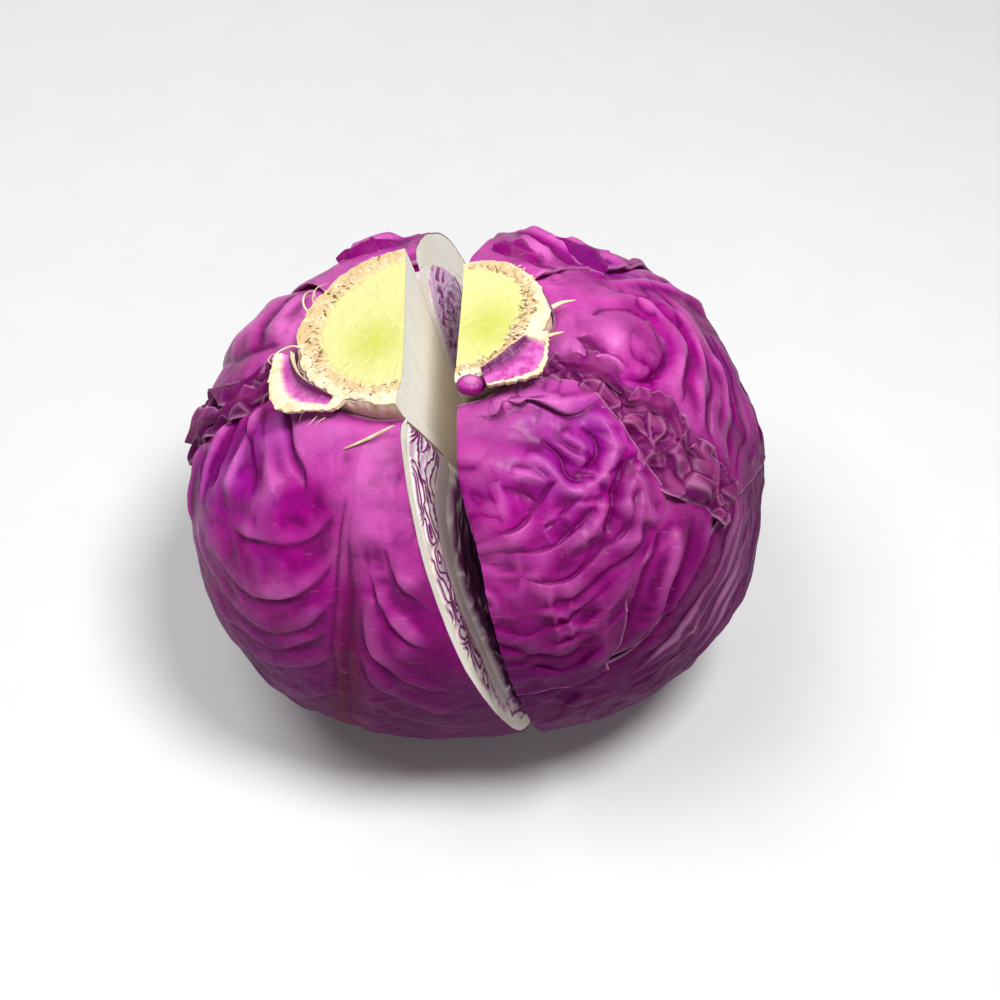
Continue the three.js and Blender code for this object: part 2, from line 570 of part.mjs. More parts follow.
function makeStub(stub) {
  const place = (v, u, outside) => {
    const round = lerp(stub.around[0], stub.around[1], u);
    const rise = curve(stub.rise, round);
    const beside = (curve(stub.half.butt, round) + STEM_GAP) / (HALF_DEPTH + rise);
    const upper = THREE.MathUtils.radToDeg(Math.asin(beside));
    const down = lerp(upper, curve(stub.lowerEdge, round), v);
    const out = rise + v * v * STUB_LIFT + (outside ? STUB_THICK : 0);
    return stand(stub.half, headPoint(stub.half, down, round, out));
  };
  const flip = stub.half === LEFT;
  const outer = (v, u) => place(v, u, true);
  const inner = (v, u) => place(v, u, false);
  return plate(stub.name, 3, 10, outer, inner, COLOUR.stub, flip);
}

// The small bud left in a leaf's corner beside the stem.
const BUD = { down: 21, round: 8, out: 2.6, radius: 2.7, length: 1.15 };

function makeBud() {
  const ball = new THREE.SphereGeometry(BUD.radius, 10, 7);
  ball.deleteAttribute('normal');
  ball.deleteAttribute('uv');
  const geometry = mergeVertices(ball, 0.01);
  geometry.scale(1, BUD.length, 0.9);
  geometry.computeVertexNormals();
  const centre = stand(RIGHT, headPoint(RIGHT, BUD.down, BUD.round, BUD.out));
  const material = new THREE.MeshStandardMaterial({ color: COLOUR.bud, roughness: 0.35, metalness: 0 });
  const bud = new THREE.Mesh(geometry, material);
  bud.name = 'right_bud';
  bud.position.copy(centre);
  return bud;
}

const head = new THREE.Group();
head.add(makeHeart(LEFT, 'left_heart'), makeHeart(RIGHT, 'right_heart'));
head.add(makeCore(LEFT, 'left_core'), makeCore(RIGHT, 'right_core'));
head.add(...LEAVES.map(makeLeaf));
head.add(...STUBS.map(makeStub), makeBud());

// The head stands with the middle of its box over the origin.
const box = new THREE.Box3().setFromObject(head);
const middle = box.getCenter(new THREE.Vector3());
head.position.set(-middle.x, -middle.y, 0);
head.updateMatrixWorld(true);

export default head;
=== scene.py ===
"""A red cabbage cut in two through its stem, standing on its crown with the stem up.

Shapes are worked out in millimetres and degrees, and turned into metres when a mesh is made.
A place on the head is a pair of angles: down from the stem, and round the half from the
front cut edge, 0, to the back one, 180.
"""

import math

import bpy
import numpy as np
from mathutils import Matrix, Vector


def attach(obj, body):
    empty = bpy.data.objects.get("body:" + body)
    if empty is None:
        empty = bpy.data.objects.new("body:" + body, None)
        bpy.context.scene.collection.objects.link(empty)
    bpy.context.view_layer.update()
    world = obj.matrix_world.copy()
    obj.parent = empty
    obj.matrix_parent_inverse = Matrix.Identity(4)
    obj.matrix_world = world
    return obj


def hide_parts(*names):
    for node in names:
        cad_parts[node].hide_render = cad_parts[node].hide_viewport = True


bl_info = {
    "name": "Red cabbage cut in two",
    "version": (1, 0, 0),
    "blender": (4, 5, 0),
    "location": "3D View > Sidebar > Cabbage",
    "description": "Builds the leaves, the cut faces and the stem of a halved red cabbage",
    "category": "Add Mesh",
}

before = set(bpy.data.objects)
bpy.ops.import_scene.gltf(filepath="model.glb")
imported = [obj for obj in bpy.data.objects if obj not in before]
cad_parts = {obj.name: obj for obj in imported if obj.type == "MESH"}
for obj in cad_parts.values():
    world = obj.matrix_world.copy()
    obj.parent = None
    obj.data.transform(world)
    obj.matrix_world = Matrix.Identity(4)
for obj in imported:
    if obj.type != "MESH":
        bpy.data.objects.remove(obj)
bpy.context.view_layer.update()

# The plain round shape of a half, the height of its middle, and how its foot is pressed flat.
HALF_DEPTH = 70.0
HALF_HEIGHT = 67.5
SQUARENESS = 2.35
CENTRE_HEIGHT = 70.2
FLAT_BELOW = 3.0
PRESSED_BELOW = 9.0
HEAD_OFFSET = (0.674, -2.933, 0.0)
# How far the cut edges are drawn back from the cut: at the front of each half, in a notch at the
# back of the right one, and how quickly this ends away from the cut.
DRAW_BACK = 2.4
DRAW_BACK_FROM = (16, 34)
DRAW_BACK_REACH = 26
RIGHT_DRAW_BACK = 2.8
RIGHT_DRAW_BACK_FROM = (44, 62)
BACK_NOTCH = 4.6
BACK_NOTCH_FROM = (24, 42)
BACK_NOTCH_ABOVE = (5, 35)
# Millimetres over the leaves for one degree.
ARC = math.radians(1) * 72.0

# Each half's reach and lean, and by the angle round it the radius of its butt and of its pith, and
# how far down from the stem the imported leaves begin.
LEFT = {
    "sign": -1, "reach": 85.0, "lean": -18.0, "turn": 0.0, "shift": 1.5,
    "butt": [[0, 27.3], [22, 26.6], [45, 27.8], [70, 30], [95, 31.2], [150, 31.2], [180, 29.4]],
    "pith": [[0, 19.6], [29, 20.6], [67, 21.9], [103, 24.8], [133, 25.6], [158, 26.2], [180, 26]],
    "rim": [[0, 24.6], [60, 25.6], [95, 27.6], [180, 28.6]],
}
RIGHT = {
    "sign": 1, "reach": 71.0, "lean": -12.5, "turn": -3.0, "shift": 10.0,
    "butt": [[0, 22.8], [65, 22.6], [86, 25], [100, 24.2], [137, 23.3], [160, 22.2], [180, 20.6]],
    "pith": [[0, 17], [40, 16.4], [70, 15.2], [95, 17], [140, 19.4], [180, 19.2]],
    "rim": [[0, 22], [86, 22.6], [180, 23]],
}
# The sawn butt and the core below it: heights from the middle of the head, and radii at each height.
BUTT_TOP = 69.5
CORE_POINT = -6.0
CORE_GAP = 0.15
BUTT_DISH = 1.2
CORE_PROFILE = [[-6, 0], [2, 7], [10, 10], [27, 15], [42, 20], [54, 24], [60, 26], [66, 27]]
CORE_BACK_SWELL = 0.1
BUTT_FLARE = (52, 66)
# The leaf borders that are the cut itself.
CUT_FRONT, CUT_BACK = [[0, 0]], [[0, 180]]
METRES_PER_MM = 0.001


def smoothstep(x, low, high):
    t = np.clip((x - low) / (high - low), 0, 1)
    return t * t * (3 - 2 * t)


def mix(a, b, t):
    return a + (b - a) * t


def bell(x):
    return np.exp(-np.square(x))


def hill(x, y):
    return np.exp(-np.square(x) - np.square(y))


def curve(points, x):
    """A smooth curve through (x, y) points, level beyond its ends."""
    table = np.asarray(points, float)
    xs, ys = table[:, 0], table[:, 1]
    x = np.asarray(x, float)
    if len(xs) == 1:
        return np.full(x.shape, ys[0])
    inner = np.clip(x, xs[0], xs[-1])
    i = np.clip(np.searchsorted(xs, inner) - 1, 0, len(xs) - 2)
    slopes = np.diff(ys) / np.diff(xs)
    middle = slopes[i]
    before = np.where(i > 0, (middle + slopes[np.maximum(i - 1, 0)]) / 2, middle)
    last = len(slopes) - 1
    after = np.where(i < last, (middle + slopes[np.minimum(i + 1, last)]) / 2, middle)
    span = xs[i + 1] - xs[i]
    t = (inner - xs[i]) / span
    t2, t3 = t * t, t * t * t
    start = (2 * t3 - 3 * t2 + 1) * ys[i] + (t3 - 2 * t2 + t) * span * before
    return start + (3 * t2 - 2 * t3) * ys[i + 1] + (t3 - t2) * span * after


def noise(points, size, seed):
    """Smooth noise of about -1 to 1 over places in millimetres; size is its grain."""
    p = points / size + seed * 17.13
    cell = np.floor(p).astype(np.int64)
    f = p - cell
    f = f * f * f * (f * (f * 6 - 15) + 10)
    total = np.zeros(p.shape[:-1])
    for corner in range(8):
        bits = np.array([corner & 1, corner >> 1 & 1, corner >> 2 & 1])
        c = cell + bits
        h = (c[..., 0] * 73856093) ^ (c[..., 1] * 19349663) ^ (c[..., 2] * 83492791 + seed * 7919)
        h = (h ^ (h >> 13)) * 1274126177
        value = ((h ^ (h >> 16)) & 0xFFFF) / 32767.5 - 1
        total += value * np.prod(np.where(bits == 1, f, 1 - f), axis=-1)
    return total


def blurred(height, passes):
    for _ in range(passes):
        wide = np.pad(height, 1, mode="edge")
        height = (height + wide[:-2, 1:-1] + wide[2:, 1:-1] + wide[1:-1, :-2] + wide[1:-1, 2:]) / 5
    return height


def head_point(half, down, around, out):
    """A point of the head, `out` millimetres outside its plain round shape."""
    down, around, out = np.broadcast_arrays(down, around, out)
    a, b = np.radians(down), np.radians(around)
    way = np.stack([half["sign"] * np.sin(a) * np.sin(b), -np.sin(a) * np.cos(b), np.cos(a)], -1)
    sides = np.abs(way / [half["reach"], HALF_DEPTH, HALF_HEIGHT]) ** SQUARENESS
    way = way * (sides.sum(-1) ** (-1 / SQUARENESS) + out)[..., None]
    way[..., 0] = np.where((around <= 0) | (around >= 180), 0, way[..., 0])
    return way


def back_rib(down, around):
    return 7 * bell((around - 180) / 24) * bell((down - 78) / 28)


def rib_pocket(half, down, around):
    if half is RIGHT:
        return 0 * down
    return 4 * bell((around - 180) / 15) * bell((down - 52) / 15)


def swell(half, down, around):
    """Where the head swells beyond its plain shape or falls short of it."""
    if half is RIGHT:
        return (-4.2 * hill((down - 106) / 24, (around - 34) / 32)
                - 6.6 * hill((down - 44) / 18, (around - 138) / 24)
                - 2.6 * hill((down - 64) / 16, (around - 108) / 20)
                + 1.8 * hill((down - 94) / 12, (around - 92) / 14)
                - 1.4 * hill((down - 92) / 12, (around - 64) / 14))
    return (-0.8 * hill((down - 72) / 14, (around - 74) / 14)
            + 1.2 * hill((down - 50) / 18, (around - 116) / 26)
            + 2 * hill((down - 36) / 12, (around - 156) / 18)
            - 2 * hill((down - 110) / 16, (around - 12) / 24)
            + 0.25 * back_rib(down, around))


def leaf_thickness(down):
    return mix(4.0, 2.4, smoothstep(down, 30, 105))


def stand(half, points):
    """From a half's own frame to the standing head, with what lies low pressed flat."""
    lean, turn = math.radians(half["lean"]), math.radians(half["turn"])
    x, y, z = points[..., 0], points[..., 1], points[..., 2]
    if half is LEFT:
        x = x - DRAW_BACK * smoothstep(-y, *DRAW_BACK_FROM) * np.exp(x / DRAW_BACK_REACH)
    else:
        open_front = RIGHT_DRAW_BACK * smoothstep(-y, *RIGHT_DRAW_BACK_FROM)
        open_back = BACK_NOTCH * smoothstep(y, *BACK_NOTCH_FROM) * smoothstep(z, *BACK_NOTCH_ABOVE)
        x = x + (open_front + open_back) * np.exp(-x / DRAW_BACK_REACH)
    x, z = x * math.cos(lean) + z * math.sin(lean), z * math.cos(lean) - x * math.sin(lean)
    x, y = x * math.cos(turn) - y * math.sin(turn), x * math.sin(turn) + y * math.cos(turn)
    z = z + CENTRE_HEIGHT
    t = np.clip((z - FLAT_BELOW) / (PRESSED_BELOW - FLAT_BELOW), 0, 1)
    end = (PRESSED_BELOW - FLAT_BELOW) / PRESSED_BELOW
    low = PRESSED_BELOW * ((3 - end) * t * t + (end - 2) * t * t * t)
    z = np.where(z >= PRESSED_BELOW, z, low)
    return np.stack([x + half["shift"], y, z], -1) + np.array(HEAD_OFFSET)


def smooth_line(points, steps):
    """A line through every point, rounded between them."""
    table = np.asarray(points, float)
    way = np.concatenate([[0], np.cumsum(np.hypot(*np.diff(table, axis=0).T))])
    at = np.linspace(0, way[-1], steps + 1)
    return np.stack([curve(np.stack([way, table[:, k]], -1), at) for k in range(table.shape[1])], -1)


def near_line(line, down, around):
    """The distance to a line over the leaf, its side, how far along, and the way towards it."""
    ring = ARC * np.sin(np.radians(down))[:, None]
    a, b = line[None, :-1], line[None, 1:]
    ax, ay = (a[..., 1] - around[:, None]) * ring, (a[..., 0] - down[:, None]) * ARC
    bx, by = (b[..., 1] - around[:, None]) * ring, (b[..., 0] - down[:, None]) * ARC
    dx, dy = bx - ax, by - ay
    u = np.clip(-(ax * dx + ay * dy) / np.maximum(dx * dx + dy * dy, 1e-9), 0, 1)
    cx, cy = ax + u * dx, ay + u * dy
    reach = np.hypot(cx, cy)
    nearest = np.argmin(reach, axis=1)
    pick = (np.arange(len(down)), nearest)
    side = np.sign(dx[pick] * ay[pick] - dy[pick] * ax[pick])
    side[side == 0] = 1
    along = (nearest + u[pick]) / (len(line) - 1)
    return reach[pick], side, along, cx[pick], cy[pick]


def ridge(rise, width, line):
    return {"kind": "ridge", "rise": rise, "width": width, "line": line}


def pouch(rise, width, line, side=-1, pale=0.0):
    """A pouch that hangs over a crease, on the given side of its line; pale is its lip's whiteness."""
    return {"kind": "pouch", "rise": rise, "width": width, "line": line, "side": side, "pale": pale}


def lip(rise, width, line, side=1):
    """The thin pale edge of a leaf that lies over the next one."""
    return pouch(rise, width, line, side, 0.8)


def dome(rise, width, down, around):
    return {"kind": "dome", "rise": rise, "width": width, "line": [[down, around], [down + 0.5, around]]}


def fold_surface(folds, down, around, depth):
    """The height that the folds give, and how far they push the leaf sideways, in millimetres."""
    height = np.zeros(down.shape)
    push_down = np.zeros(down.shape)
    push_round = np.zeros(down.shape)
    pale = np.zeros(down.shape)
    flat_down, flat_round = down.ravel(), around.ravel()
    for fold in folds:
        width = fold["width"]
        line = smooth_line(fold["line"], 4 * len(fold["line"]))
        margin = 3.4 * width / ARC
        low, high = line.min(0) - margin, line.max(0) + margin
        low[1] -= margin * 0.8
        high[1] += margin * 0.8
        inside = (flat_down > low[0]) & (flat_down < high[0]) & (flat_round > low[1]) & (flat_round < high[1])
        if not inside.any():
            continue
        d, side, along, cx, cy = near_line(line, flat_down[inside], flat_round[inside])
        rise = depth * fold["rise"]
        if fold["kind"] == "dome":
            height.ravel()[inside] += rise * bell(d / width)
            continue
        taper = smoothstep(along, -0.06, 0.22) * smoothstep(1 - along, -0.06, 0.22)
        if fold["kind"] == "ridge":
            sharp = 0.6 if rise < 0 else 0.2
            shape = (1 - sharp) * bell(d / width) + sharp * np.exp(-d / (0.32 * width))
            height.ravel()[inside] += rise * taper * shape
            continue
        across = d * side * fold["side"]
        taper = taper * (0.8 + 0.35 * np.sin(along * 11 + 5 * fold["line"][0][0]))
        shape = 0.42 * np.tanh(across / 0.7) * np.exp(-d / width)
        shape += 0.3 * bell((across - 2.4) / 2.0) - 0.34 * bell((across + 0.35) / 0.6)
        height.ravel()[inside] += rise * taper * shape
        push = 0.36 * rise * taper * bell((across - 1.0) / 1.4) / np.maximum(d, 0.3)
        pale.ravel()[inside] += fold["pale"] * taper * bell((across - 0.3) / 0.5)
        push_down.ravel()[inside] += push * cy / ARC
        push_round.ravel()[inside] += push * cx / (ARC * np.sin(np.radians(flat_down[inside])))
    return height, push_down, push_round, pale


def wrinkles(flat, size, seed):
    """Irregular ridges and creases about `size` apart, like those of crumpled cloth."""
    warp = np.stack([noise(flat, size * 1.7, seed + k) for k in (1, 2, 3)], -1)
    first = np.abs(noise(flat * [1, 1, 1.5] + warp * size * 0.7, size, seed + 4))
    second = np.abs(noise(flat + warp * size * 0.4, size * 0.55, seed + 5))
    turn = np.clip(2.2 * noise(flat, size * 1.9, seed + 6), -1, 1)
    return turn * (0.55 - 1.7 * first) + 0.45 * np.roll(turn, 7, axis=0) * (0.4 - 1.2 * second)


def plates(flat, size, seed):
    """Dry torn leaf: tilted plates about `size` across, with cracks and thin pale edges between them."""
    rng = np.random.default_rng(seed)
    places = flat.reshape(-1, 3)
    count = int(np.prod(np.ptp(places, axis=0) + size) ** (2 / 3) / size ** 2) + 8
    seeds = places[rng.choice(len(places), count, replace=False)]
    lift, tilt = rng.uniform(-1, 1, count), rng.normal(0, 0.13, (count, 3))
    warp = np.stack([noise(flat, size * 1.1, seed + k) for k in (1, 2, 3)], -1).reshape(-1, 3) * size * 0.3
    moved = places + warp
    away = np.linalg.norm(moved[:, None] - seeds[None], axis=-1)
    order = np.argpartition(away, 1, axis=1)[:, :2]
    pick = np.arange(len(places))
    first, second = order[:, 0], order[:, 1]
    swap = away[pick, first] > away[pick, second]
    first, second = np.where(swap, second, first), np.where(swap, first, second)
    gap = away[pick, second] - away[pick, first]
    height = 0.9 * lift[first] + ((moved - seeds[first]) * tilt[first]).sum(-1)
    higher = smoothstep(lift[first] - lift[second], -0.2, 0.2)
    height = np.clip(height, -1.6, 1.8) * smoothstep(gap, 0.0, 0.9)
    crack = smoothstep(gap, 1.0, 0.15) * (1 - 0.5 * higher)
    pale = bell((gap - 0.9) / 0.45) * higher
    return [a.reshape(flat.shape[:-1]) for a in (height, crack, pale)]


# The folds of each leaf. A line is (down, round) places in degrees; before it stand how far the fold
# rises, or sinks, and how wide it is. The arcs and the lines beside the cut are the big hanging pouches.
ARC_1 = [[53.8, 56.5], [53.8, 51], [53.3, 45.5], [52.4, 40], [50.9, 35.5], [48.4, 31], [43.4, 26]]
ARC_2 = [[63.3, 55], [64.3, 51.5], [64.3, 47], [63.8, 42.5], [61.3, 34], [58.3, 30], [52.9, 25]]
ARC_3 = [[70.3, 57], [70.8, 52.5], [71.8, 47.5], [72.3, 42.5], [69.3, 33.5], [65.3, 28.5], [61, 24.5]]
ARC_4 = [[76.8, 56], [77.8, 51.5], [77.3, 46], [76.3, 40.5], [74.3, 35.5], [71.3, 30], [68, 26]]
ARC_5 = [[88.7, 61], [85.3, 52], [84.3, 46.5], [82.8, 41], [80.8, 35.5], [76.8, 28.5]]
ARC_6 = [[99, 60], [97.7, 54.5], [97.7, 48.5], [95.7, 43], [92.2, 37.5], [87.8, 32.5]]
CUT_SIDE_1 = [[49.4, 9], [54.3, 9], [59.8, 7.5], [62.3, 5], [64.8, 2.5]]
CUT_SIDE_2 = [[56.8, 14.5], [60.8, 14.5], [64.8, 13], [68.8, 10.5], [72.8, 7.5], [74.8, 5]]
CUT_SIDE_3 = [[62.3, 18], [68.3, 18.5], [73.8, 18.5], [78.8, 16.5], [83.8, 14.5], [90.7, 6]]
CUT_SIDE_4 = [[75.3, 21.5], [81.3, 21.5], [87.3, 20.5], [92.7, 17.5], [97.7, 14], [102, 7]]

LEFT_FRONT_FOLDS = [
    ridge(0.9, 6, [[25, 18], [38, 17.5], [52, 19]]),
    ridge(-0.9, 2.4, [[44, 19.4], [58, 20.6], [66, 22], [80, 26.5], [99, 34.5], [112, 40], [124, 46]]),
    ridge(-0.6, 1.1, [[40, 22], [52, 23.4], [66, 26], [80, 30], [96, 36]]),
    ridge(0.7, 3.2, [[52, 15], [66, 16.6], [80, 20.6], [99, 28.5], [112, 34]]),
    dome(2.0, 9, 31, 44), dome(1.2, 8, 43, 49), dome(0.9, 7, 38, 30), dome(-0.5, 7, 46, 35),
    ridge(-2.7, 1.5, [[30.5, 66.5], [31.5, 61], [32.5, 54], [34.6, 46], [37, 40], [40, 36.5]]),
    ridge(1.1, 3.4, [[36.4, 63], [39, 54], [41.6, 47], [44.4, 42]]),
    ridge(-1.2, 2.6, [[39.9, 78], [40.9, 71], [41.9, 66.5], [44.4, 57], [46.4, 53]]),
    ridge(1.3, 1.8, [[35.4, 77], [39, 72.5], [43, 68], [46.4, 63.5], [50, 59.5]]),
    ridge(-1.1, 2.2, [[42, 82], [46, 77.5], [50, 72.6], [53, 67]]),
    ridge(1.4, 1.6, [[44.6, 83], [48, 79.5], [52, 76.5], [55, 72.5], [58, 68.6]]),
    ridge(-1.0, 2.4, [[52, 82], [56, 78.5], [60, 74]]),
    ridge(1.1, 1.6, [[54, 86], [59, 83], [64, 79.5], [68, 75]]),
    dome(0.9, 6, 51, 66), dome(0.7, 6, 60, 62),
    pouch(0.9, 9, ARC_1), pouch(1.3, 9, ARC_2), pouch(0.8, 8, ARC_3),
    pouch(0.9, 7, ARC_4), pouch(0.9, 7, ARC_5), pouch(0.7, 7, ARC_6),
    dome(1.0, 9, 58, 42), dome(0.9, 8, 47, 44), dome(-0.8, 6, 50, 31), dome(0.8, 8, 68, 46),
    dome(0.8, 6, 46, 12), dome(0.9, 6, 56, 5), dome(0.9, 7, 72, 10), dome(0.8, 7, 84, 14),
    dome(-0.7, 6, 62, 9), dome(0.7, 7, 79, 44), dome(0.6, 7, 92, 47),
    pouch(1.0, 6, [[61, 74], [63.8, 68.5], [67.3, 64], [70.8, 52.5]]),
    pouch(0.9, 6, [[69.8, 70], [74.8, 60.5], [79.8, 55.5], [87.3, 46]]),
    pouch(0.8, 6, [[80, 78], [88, 70], [94, 62], [99, 54]]),
    pouch(0.8, 7, [[106, 64], [107, 54], [105, 46], [100, 39]]),
    pouch(0.8, 7, [[117, 62], [118, 54], [115, 48]]),
    pouch(0.9, 5, CUT_SIDE_1), pouch(1.5, 5, CUT_SIDE_2),
    pouch(1.3, 6, CUT_SIDE_3), pouch(1.0, 7, CUT_SIDE_4),
    pouch(0.8, 7, [[90, 27], [99, 24], [108, 16], [112, 6]]),
    pouch(0.8, 7, [[104, 34], [114, 28], [122, 18]]),
]

LEFT_SIDE_FOLDS = [
    ridge(1.5, 5, [[28, 112], [45, 116], [70, 118], [100, 118], [118, 118]]),
    ridge(-1.3, 3, [[30, 104], [45, 107], [60, 112], [80, 114]]),
    pouch(1.2, 6, [[46, 136], [52, 131], [57, 127], [62, 119]]),
    pouch(0.9, 4, [[58, 138], [64, 133], [70, 128], [75, 120]]),
    pouch(1.2, 6, [[70, 138], [78, 132], [84, 127], [88, 119]]),
    pouch(1.0, 5, [[86, 138], [93, 132], [100, 120]]),
    pouch(1.2, 6, [[60, 104], [68, 106], [76, 112]]),
    pouch(1.2, 6, [[76, 100], [84, 107], [90, 116]]),
    pouch(1.0, 6, [[94, 103], [100, 109], [104, 116]]),
    ridge(1.4, 3, [[33, 108], [37, 122], [38, 134]]),
    ridge(-1.2, 2.4, [[38, 106], [42, 118], [43, 132]]),
    dome(1.2, 7, 48, 126), dome(0.9, 7, 104, 128),
]

LEFT_BACK_FOLDS = [
    ridge(2.6, 3.4, [[43.4, 155], [41.6, 160], [41.4, 166], [43, 172]]),
    ridge(-1.8, 1.4, [[37.6, 156], [36.6, 162], [37.4, 169]]),
    ridge(1.3, 1.4, [[47.4, 157], [46, 163], [46.6, 170]]),
    ridge(-1.6, 2.2, [[40, 152], [45, 149], [52, 146]]),
    ridge(1.8, 4, [[60, 150], [75, 158], [95, 160]]),
    ridge(1.3, 3, [[44, 164], [50, 156], [60, 152]]),
    pouch(1.2, 5, [[58, 145], [66, 148], [72, 156]]),
    pouch(1.4, 6, [[72, 143], [82, 148], [90, 157]]),
    pouch(1.4, 6, [[84, 143], [96, 150], [104, 162]]),
    pouch(1.1, 6, [[104, 146], [112, 156], [116, 168]]),
]

RIGHT_FRONT_FOLDS = [
    pouch(2.0, 2.2, [[25.4, 13], [26.2, 18], [25.2, 24], [28.6, 30], [28.8, 35], [32.4, 40],
          [34.2, 46], [35, 53]], 1, 0.8),
    ridge(1.3, 2.2, [[24.6, 14], [25.2, 22], [27.2, 31], [30.6, 40], [32.6, 50]]),
    ridge(-0.9, 0.9, [[24.4, 20], [25.6, 27], [28, 35], [30.2, 42]]),
    dome(2.2, 9, 38.5, 9), dome(1.4, 8, 47, 8), dome(-1.3, 5, 36.5, 28), dome(0.9, 5, 42.5, 22),
    ridge(1.4, 2.4, [[34.4, 49], [38, 50.5], [42, 49.5], [46, 45], [47.5, 38], [46, 33]]),
    ridge(-1.7, 1.7, [[36.6, 44], [39, 45.6], [41.5, 44.5], [43.4, 40.5], [43, 35]]),
    ridge(1.2, 1.5, [[36, 37], [39, 39.5], [41.2, 40]]),
    ridge(1.0, 1.3, [[37.4, 33], [40.6, 35.6], [42.6, 37.4]]),
    ridge(-1.2, 1.4, [[36.4, 30], [40, 32], [43, 30.6], [46, 33.5]]),
    ridge(1.3, 2.2, [[38, 24], [42, 26.6], [46, 29], [49, 34]]),
    ridge(0.9, 1.4, [[41, 16], [43, 21], [45.4, 25]]),
    ridge(-0.8, 1.6, [[42, 11], [44.6, 17], [47, 21]]),
    pouch(1.2, 5, [[44, 29], [47, 22], [49.4, 13], [49, 4]], 1),
    pouch(0.8, 3, [[48.4, 33], [51, 26], [51.6, 17]], 1),
    pouch(1.2, 5, [[52, 36], [55, 28], [55.4, 16], [54, 6]], 1),
    ridge(1.0, 2, [[54, 37], [57.4, 28], [58, 20]]),
    pouch(1.3, 5.4, [[58, 40], [61.6, 30], [63, 20], [60.5, 8]], 1),
    ridge(-2.0, 1.9, [[48.9, 47.5], [52.4, 41], [56.8, 34.5], [59, 31]]),
    ridge(1.2, 2, [[51, 51], [54.6, 44], [58, 38.4]]),
    ridge(1.2, 1.6, [[56.4, 47], [59, 41], [62.4, 36]]),
    ridge(-1.2, 2, [[60, 44], [63.4, 36], [66.6, 26], [67, 12]]),
    pouch(1.1, 5, [[67, 31], [71.4, 22], [73, 12], [72, 3]], 1),
    pouch(0.7, 3, [[73, 27], [77, 18], [78, 8]], 1),
    ridge(-1.0, 2.4, [[80, 25], [82, 15], [81, 4]]),
    pouch(1.1, 5, [[84, 24], [87.4, 14], [87, 3]], 1),
    ridge(1.7, 2.6, [[53, 48.5], [58, 46.4], [61, 42]]),
    ridge(1.5, 3, [[64, 37.4], [72, 28.5], [84, 24.6], [91, 20]]),
    ridge(0.9, 1.8, [[50, 27], [54.4, 38], [57, 45]]),
    dome(-0.8, 6, 46, 17), dome(1.0, 6, 57, 12), dome(0.8, 6, 69, 17), dome(0.7, 6, 78, 11),
]

RIGHT_FOLD_FOLDS = [
    ridge(2, 2.2, [[65, 49], [69, 46], [74, 41.4], [80, 36.4], [88, 30.4]]),
    ridge(-1.8, 1.6, [[67, 53], [72, 49.4], [78, 43.6], [84, 37], [90, 30.4]]),
    ridge(0.9, 1.6, [[70, 55.5], [75, 52], [80, 44.6], [86, 37.4]]),
    ridge(-1.2, 1.4, [[64, 45], [69, 39], [75, 33.4], [83, 29.4]]),
]

RIGHT_SIDE_FOLDS = [
    dome(3.2, 8, 34.8, 84), dome(0.8, 5, 32.6, 80), dome(1.7, 4.4, 25.6, 71), dome(-1.8, 3, 29, 75.5),
    ridge(-2.3, 1.8, [[37, 97.5], [40.6, 95.5], [43.4, 91], [44.6, 85], [43.6, 77], [41, 70.5], [37, 67.5]]),
    ridge(-1.2, 2.6, [[29, 92], [31.6, 98.5], [36, 100], [40, 98]]),
    ridge(-1.4, 1.4, [[25.4, 76.5], [28.4, 78], [31, 75.6], [33.4, 73]]),
    ridge(1.3, 1.2, [[27.6, 66.6], [30.6, 67.6], [31.8, 70.4], [33.6, 71.6], [36.4, 70]]),
    ridge(1.4, 3, [[31, 105], [37, 107], [43, 104], [48, 96], [49.6, 86], [48.4, 77], [46.4, 71]]),
    ridge(-1.5, 2.2, [[36, 113], [43, 110], [49, 101], [52, 91], [51.4, 82], [49.6, 72]]),
    ridge(1.3, 2.2, [[48, 111.5], [54, 103], [56.6, 92], [55, 81], [57.4, 72]]),
    pouch(1.3, 5, [[50, 118], [55, 109], [59.6, 98], [60, 88], [58.8, 80], [60.8, 74], [65, 70]], 1, 0.3),
    ridge(1.2, 2.2, [[62, 100], [64.4, 90], [64, 82], [66, 75]]),
    ridge(-1.4, 2.2, [[63, 109], [68.4, 98], [69.6, 87], [69, 78], [71, 70.5]]),
    pouch(1.4, 5, [[67, 112], [73.6, 100], [75.6, 89], [73.6, 80], [74.6, 71]], 1, 0.3),
    ridge(1.1, 2.2, [[78, 100], [80, 90], [79, 80]]),
    ridge(-1.2, 2.2, [[77, 108], [83, 98], [85, 88]]),
    pouch(1.0, 5, [[84, 112], [89.6, 102], [91, 94]], 1),
    ridge(1.3, 3, [[36, 118], [48, 122], [60, 124], [76, 122]]),
    pouch(1.1, 5, [[58, 134], [66, 128], [74, 118]]),
    pouch(1.1, 5, [[72, 136], [80, 130], [88, 120]]),
    pouch(1.0, 5, [[86, 136], [94, 128], [100, 118]]),
]

